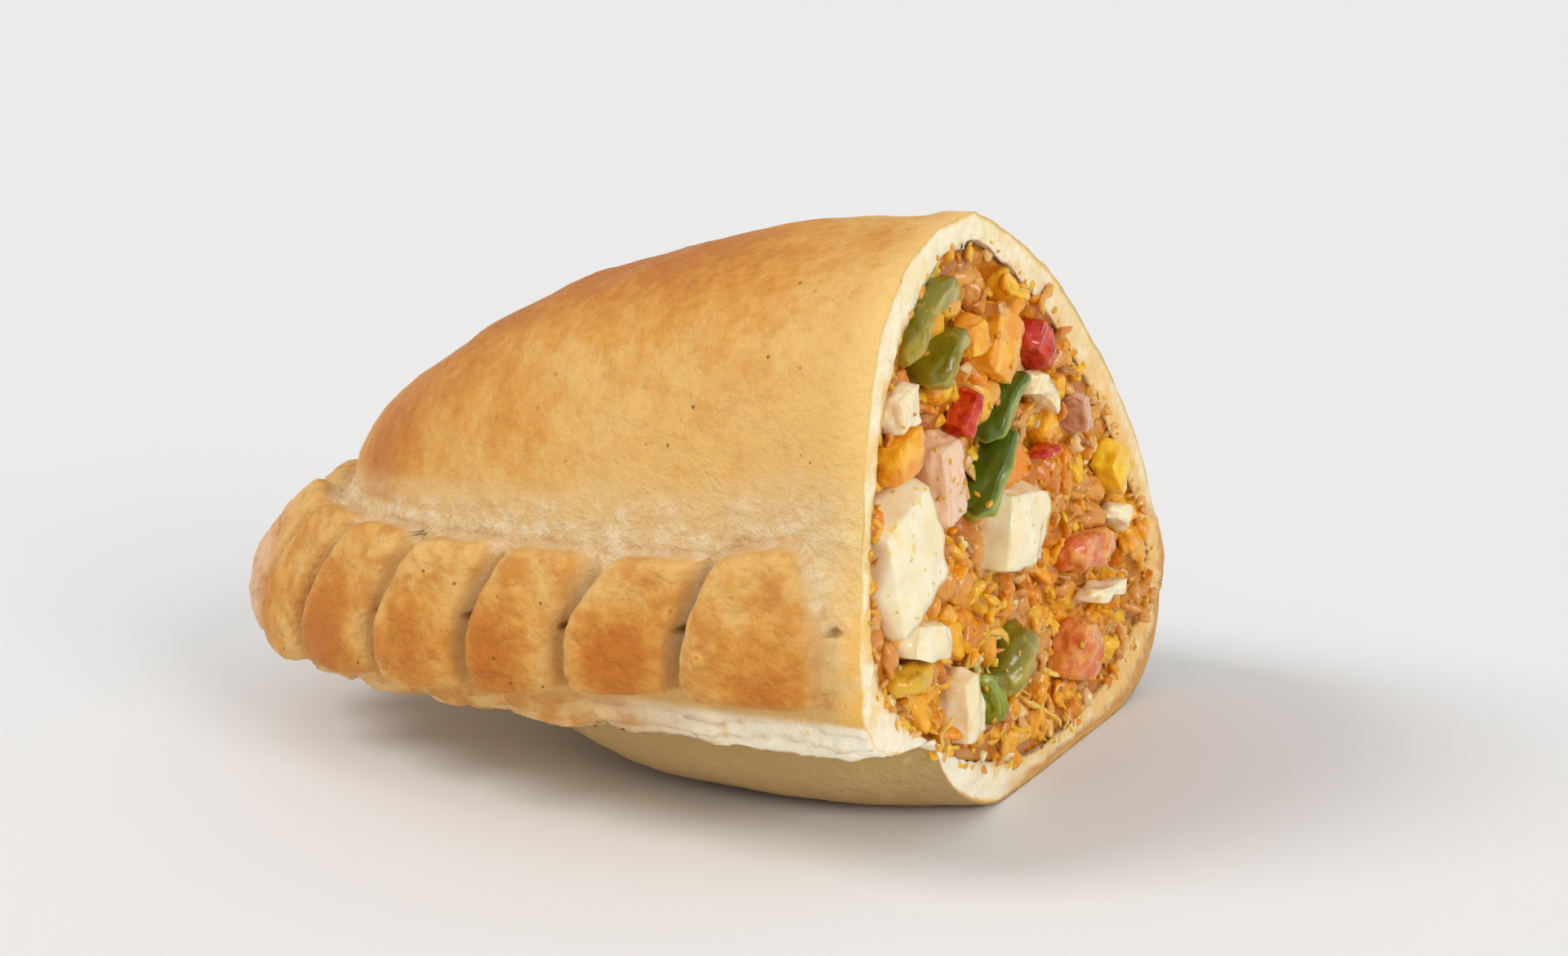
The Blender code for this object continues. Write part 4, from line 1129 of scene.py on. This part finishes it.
def strewn_filling(core, pieces, crust):
    """Everything strewn over the filling's core, its pieces and the rim, from clumps of mince to specks."""
    tree = scatter_tree()
    mince = crumb_finish("cooked_mince", MINCE, zone=BEEF[1])
    beef = crumb_finish("beef_crumb", BEEF)
    mash = crumb_finish("squash_mash", MASH)
    common = {"Knife": KNIFE, "Clear Of": joined("all_pieces", pieces), "Farthest": 1.0, "Low Edge": -1.0,
              "High Edge": 1.0, "Flatness": 0.85, "Lift": 0.0, "Share": 1.0, "Near Wall": 1.0}
    made = []

    def add(name, surface, lumps, finish, seed, spacing, smallest, largest, clearance, **more):
        """Spacing, sizes and clearance of the pieces are in millimetres; a clearance below 0 is none."""
        lengths = {"Spacing": spacing, "Smallest": smallest, "Largest": largest, "Clearance": clearance}
        inputs = {**common, "Lumps": lumps, "Finish": finish, "Seed": seed}
        inputs.update((key, value * MM) for key, value in lengths.items())
        inputs.update((key.replace("_", " "), value) for key, value in more.items())
        made.append(strew(name, tree, surface, inputs))
        return made[-1]

    clump, wall_lump, chunk = (crumb_kinds(*kind) for kind in
                               (("clump", 7, 3, 26, 3), ("wall_lump", 7, 3, 20, 13), ("chunk", 6, 3, 22, 17)))
    clumps = add("mince_clumps", core, clump, mince, 4, 1.9, 0.9, 2.4, 0.7, Lift=-0.1 * MM)
    add("mince_at_the_wall", core, wall_lump, mince, 6, 1.5, 0.7, 1.5, 0.2, Near_Wall=1.2 * MM, Share=0.7)
    chunks = add("squash_chunks", core, chunk, mash, 19, 4.2, 1.5, 2.8, 1.5, Share=0.75, Lift=-0.3 * MM,
                 Flatness=0.7)

    bed = joined("bed", [core, clumps, chunks])
    small, medium = crumb_kinds("crumb", 8, 1, 5, 9), crumb_kinds("lump", 7, 2, 10, 5)
    strand, thick_strand = shred_kinds("strand", 6, 0.24, 8), shred_kinds("thick_strand", 6, 0.3, 8)
    onion_bit, shred = shred_kinds("onion_bit", 5, 0.42, 8), shred_kinds("shred", 6, 0.13, 6)
    egg_crumb, onion_shred = crumb_finish("egg_crumb", CREAM), crumb_finish("onion_shred", SHRED)
    red_fleck, green_fleck = crumb_finish("red_fleck", FLECK_RED), crumb_finish("green_fleck", FLECK_GREEN)
    cooked_onion = crumb_finish("cooked_onion", ONION_BIT, 0.25, 0.06)
    yolk_speck = crumb_finish("yolk_speck", YOLK)
    add("mince_crumbs", bed, small, mince, 8, 0.95, 0.3, 0.85, -1000.0, Share=0.5, Flatness=0.7)
    add("beef_crumbs", bed, medium, beef, 71, 2.0, 0.5, 1.2, 0.1, Share=0.35)
    add("beef_strands", bed, strand, beef, 77, 1.8, 0.9, 1.7, 0.3, Share=0.5, Flatness=1.0)
    add("mince_strands", bed, thick_strand, mince, 79, 1.7, 0.8, 1.6, 0.2, Share=0.5, Flatness=1.0)
    add("squash_crumbs", bed, medium, mash, 15, 2.0, 0.6, 1.5, 0.0, Share=0.45)
    add("egg_crumbs", bed, medium, egg_crumb, 21, 3.2, 0.5, 1.0, 0.2, Share=0.4)
    add("onion_bits", bed, onion_bit, cooked_onion, 87, 3.4, 0.9, 1.5, 0.5, Share=0.5, Flatness=0.6)
    add("red_flecks", bed, small, red_fleck, 33, 4.0, 0.3, 0.7, 0.2, Share=0.4, Flatness=0.4)
    add("green_flecks", bed, small, green_fleck, 41, 4.5, 0.25, 0.55, 0.2, Share=0.4, Flatness=0.4)
    add("shreds", bed, shred, onion_shred, 52, 1.6, 1.1, 2.1, 0.6, Share=0.5, High_Edge=13.0 * MM,
        Flatness=1.0)

    others = joined("pieces_but_egg", [o for o in pieces if not o.name.startswith("egg")])
    egg = joined("egg_pieces", [o for o in pieces if o.name.startswith("egg")])
    add("sauce_on_pieces", others, small, mince, 61, 1.2, 0.2, 0.6, -1000.0, Share=0.4, Flatness=0.6)
    add("specks_on_egg", egg, small, yolk_speck, 65, 1.5, 0.12, 0.36, -1000.0, Share=0.35, Flatness=0.6)
    add("crumbs_on_the_rim", crust, medium, mash, 91, 0.5, 0.2, 0.55, -1000.0, Share=0.45,
        Near_Wall=0.25 * MM, Flatness=0.7)
    return made


# Stage, lights and camera


def stage():
    """A plain pale floor."""
    floor = bpy.data.meshes.new("pale_floor")
    reach = 12.0
    floor.from_pydata([(-reach, -reach, 0), (reach, -reach, 0), (reach, reach, 0), (-reach, reach, 0)], [],
                      [(0, 1, 2, 3)])
    f = Finish("pale_floor_paint")
    f.colour(f.blend((0.80, 0.80, 0.80), (0.82, 0.82, 0.82), f.noise(60.0)))
    f.roughness(f.noise(40.0) * 0.05 + 0.85)
    return finished(placed("pale_floor", floor), f.material)


def soft_sun(name, toward, strength, spread, colour=(1.0, 1.0, 1.0)):
    """Far soft light that shines along a direction, with its spread in degrees."""
    light = bpy.data.lights.new(name, "SUN")
    light.energy = strength
    light.angle = math.radians(spread)
    light.color = colour
    placed(name, light).rotation_euler = Vector(toward).to_track_quat("-Z", "Y").to_euler()


def light_and_camera():
    """A white world, two soft suns and the photograph's camera."""
    world = bpy.data.worlds.new("studio")
    bpy.context.scene.world = world
    world.use_nodes = True
    background = world.node_tree.nodes["Background"]
    background.inputs["Color"].default_value = (1.0, 1.0, 1.0, 1.0)
    background.inputs["Strength"].default_value = 0.58
    soft_sun("key_left", (0.5, 0.55, -0.75), 1.3, 24, (1.0, 0.98, 0.95))
    soft_sun("fill_right", (-0.75, 0.35, -0.4), 1.2, 26)
    a, p = CAMERA_AZIMUTH, CAMERA_PITCH
    right = Vector((math.cos(a), math.sin(a), 0.0))
    back = Vector((math.sin(a) * math.cos(p), -math.cos(a) * math.cos(p), math.sin(p)))
    lens = bpy.data.cameras.new("camera")
    lens.sensor_width = 36.0
    lens.sensor_fit = "HORIZONTAL"
    lens.lens = CAMERA_LENS
    lens.clip_start = 0.01
    camera = placed("camera", lens)
    turn = Matrix((right, back.cross(right), back)).transposed().to_4x4()
    camera.matrix_world = Matrix.Translation(Vector((CAMERA_PLACE - FRAME_CENTRE) * MM)) @ turn
    bpy.context.scene.camera = camera
    bpy.context.scene.view_settings.view_transform = "Standard"


def main():
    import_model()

    def ride(piece, node):
        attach(piece, "root")
        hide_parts(node)

    crust = finished(crust_mesh(), crust_finish())
    ride(crust, "crust")

    materials = {name: wet_finish(name, **values) for name, values in FINISHES.items()}
    pieces = []
    for seed, (name, values) in enumerate(PIECES.items()):
        pieces.append(finished(piece_mesh(name, seed), materials[OWN_LOOKS.get(name, values[0])]))
        ride(pieces[-1], name)

    # The core's bed is darker than the crumbs on it, partly as painted shade in the gaps between them
    core = finished(filling_core(), crumb_finish("mince_bed_with_gap_shade", BED_WITH_GAP_SHADE, zone=BED_ZONE))
    for piece in [core, *strewn_filling(core, pieces, crust)]:
        ride(piece, "filling")

    stage()
    light_and_camera()


main()
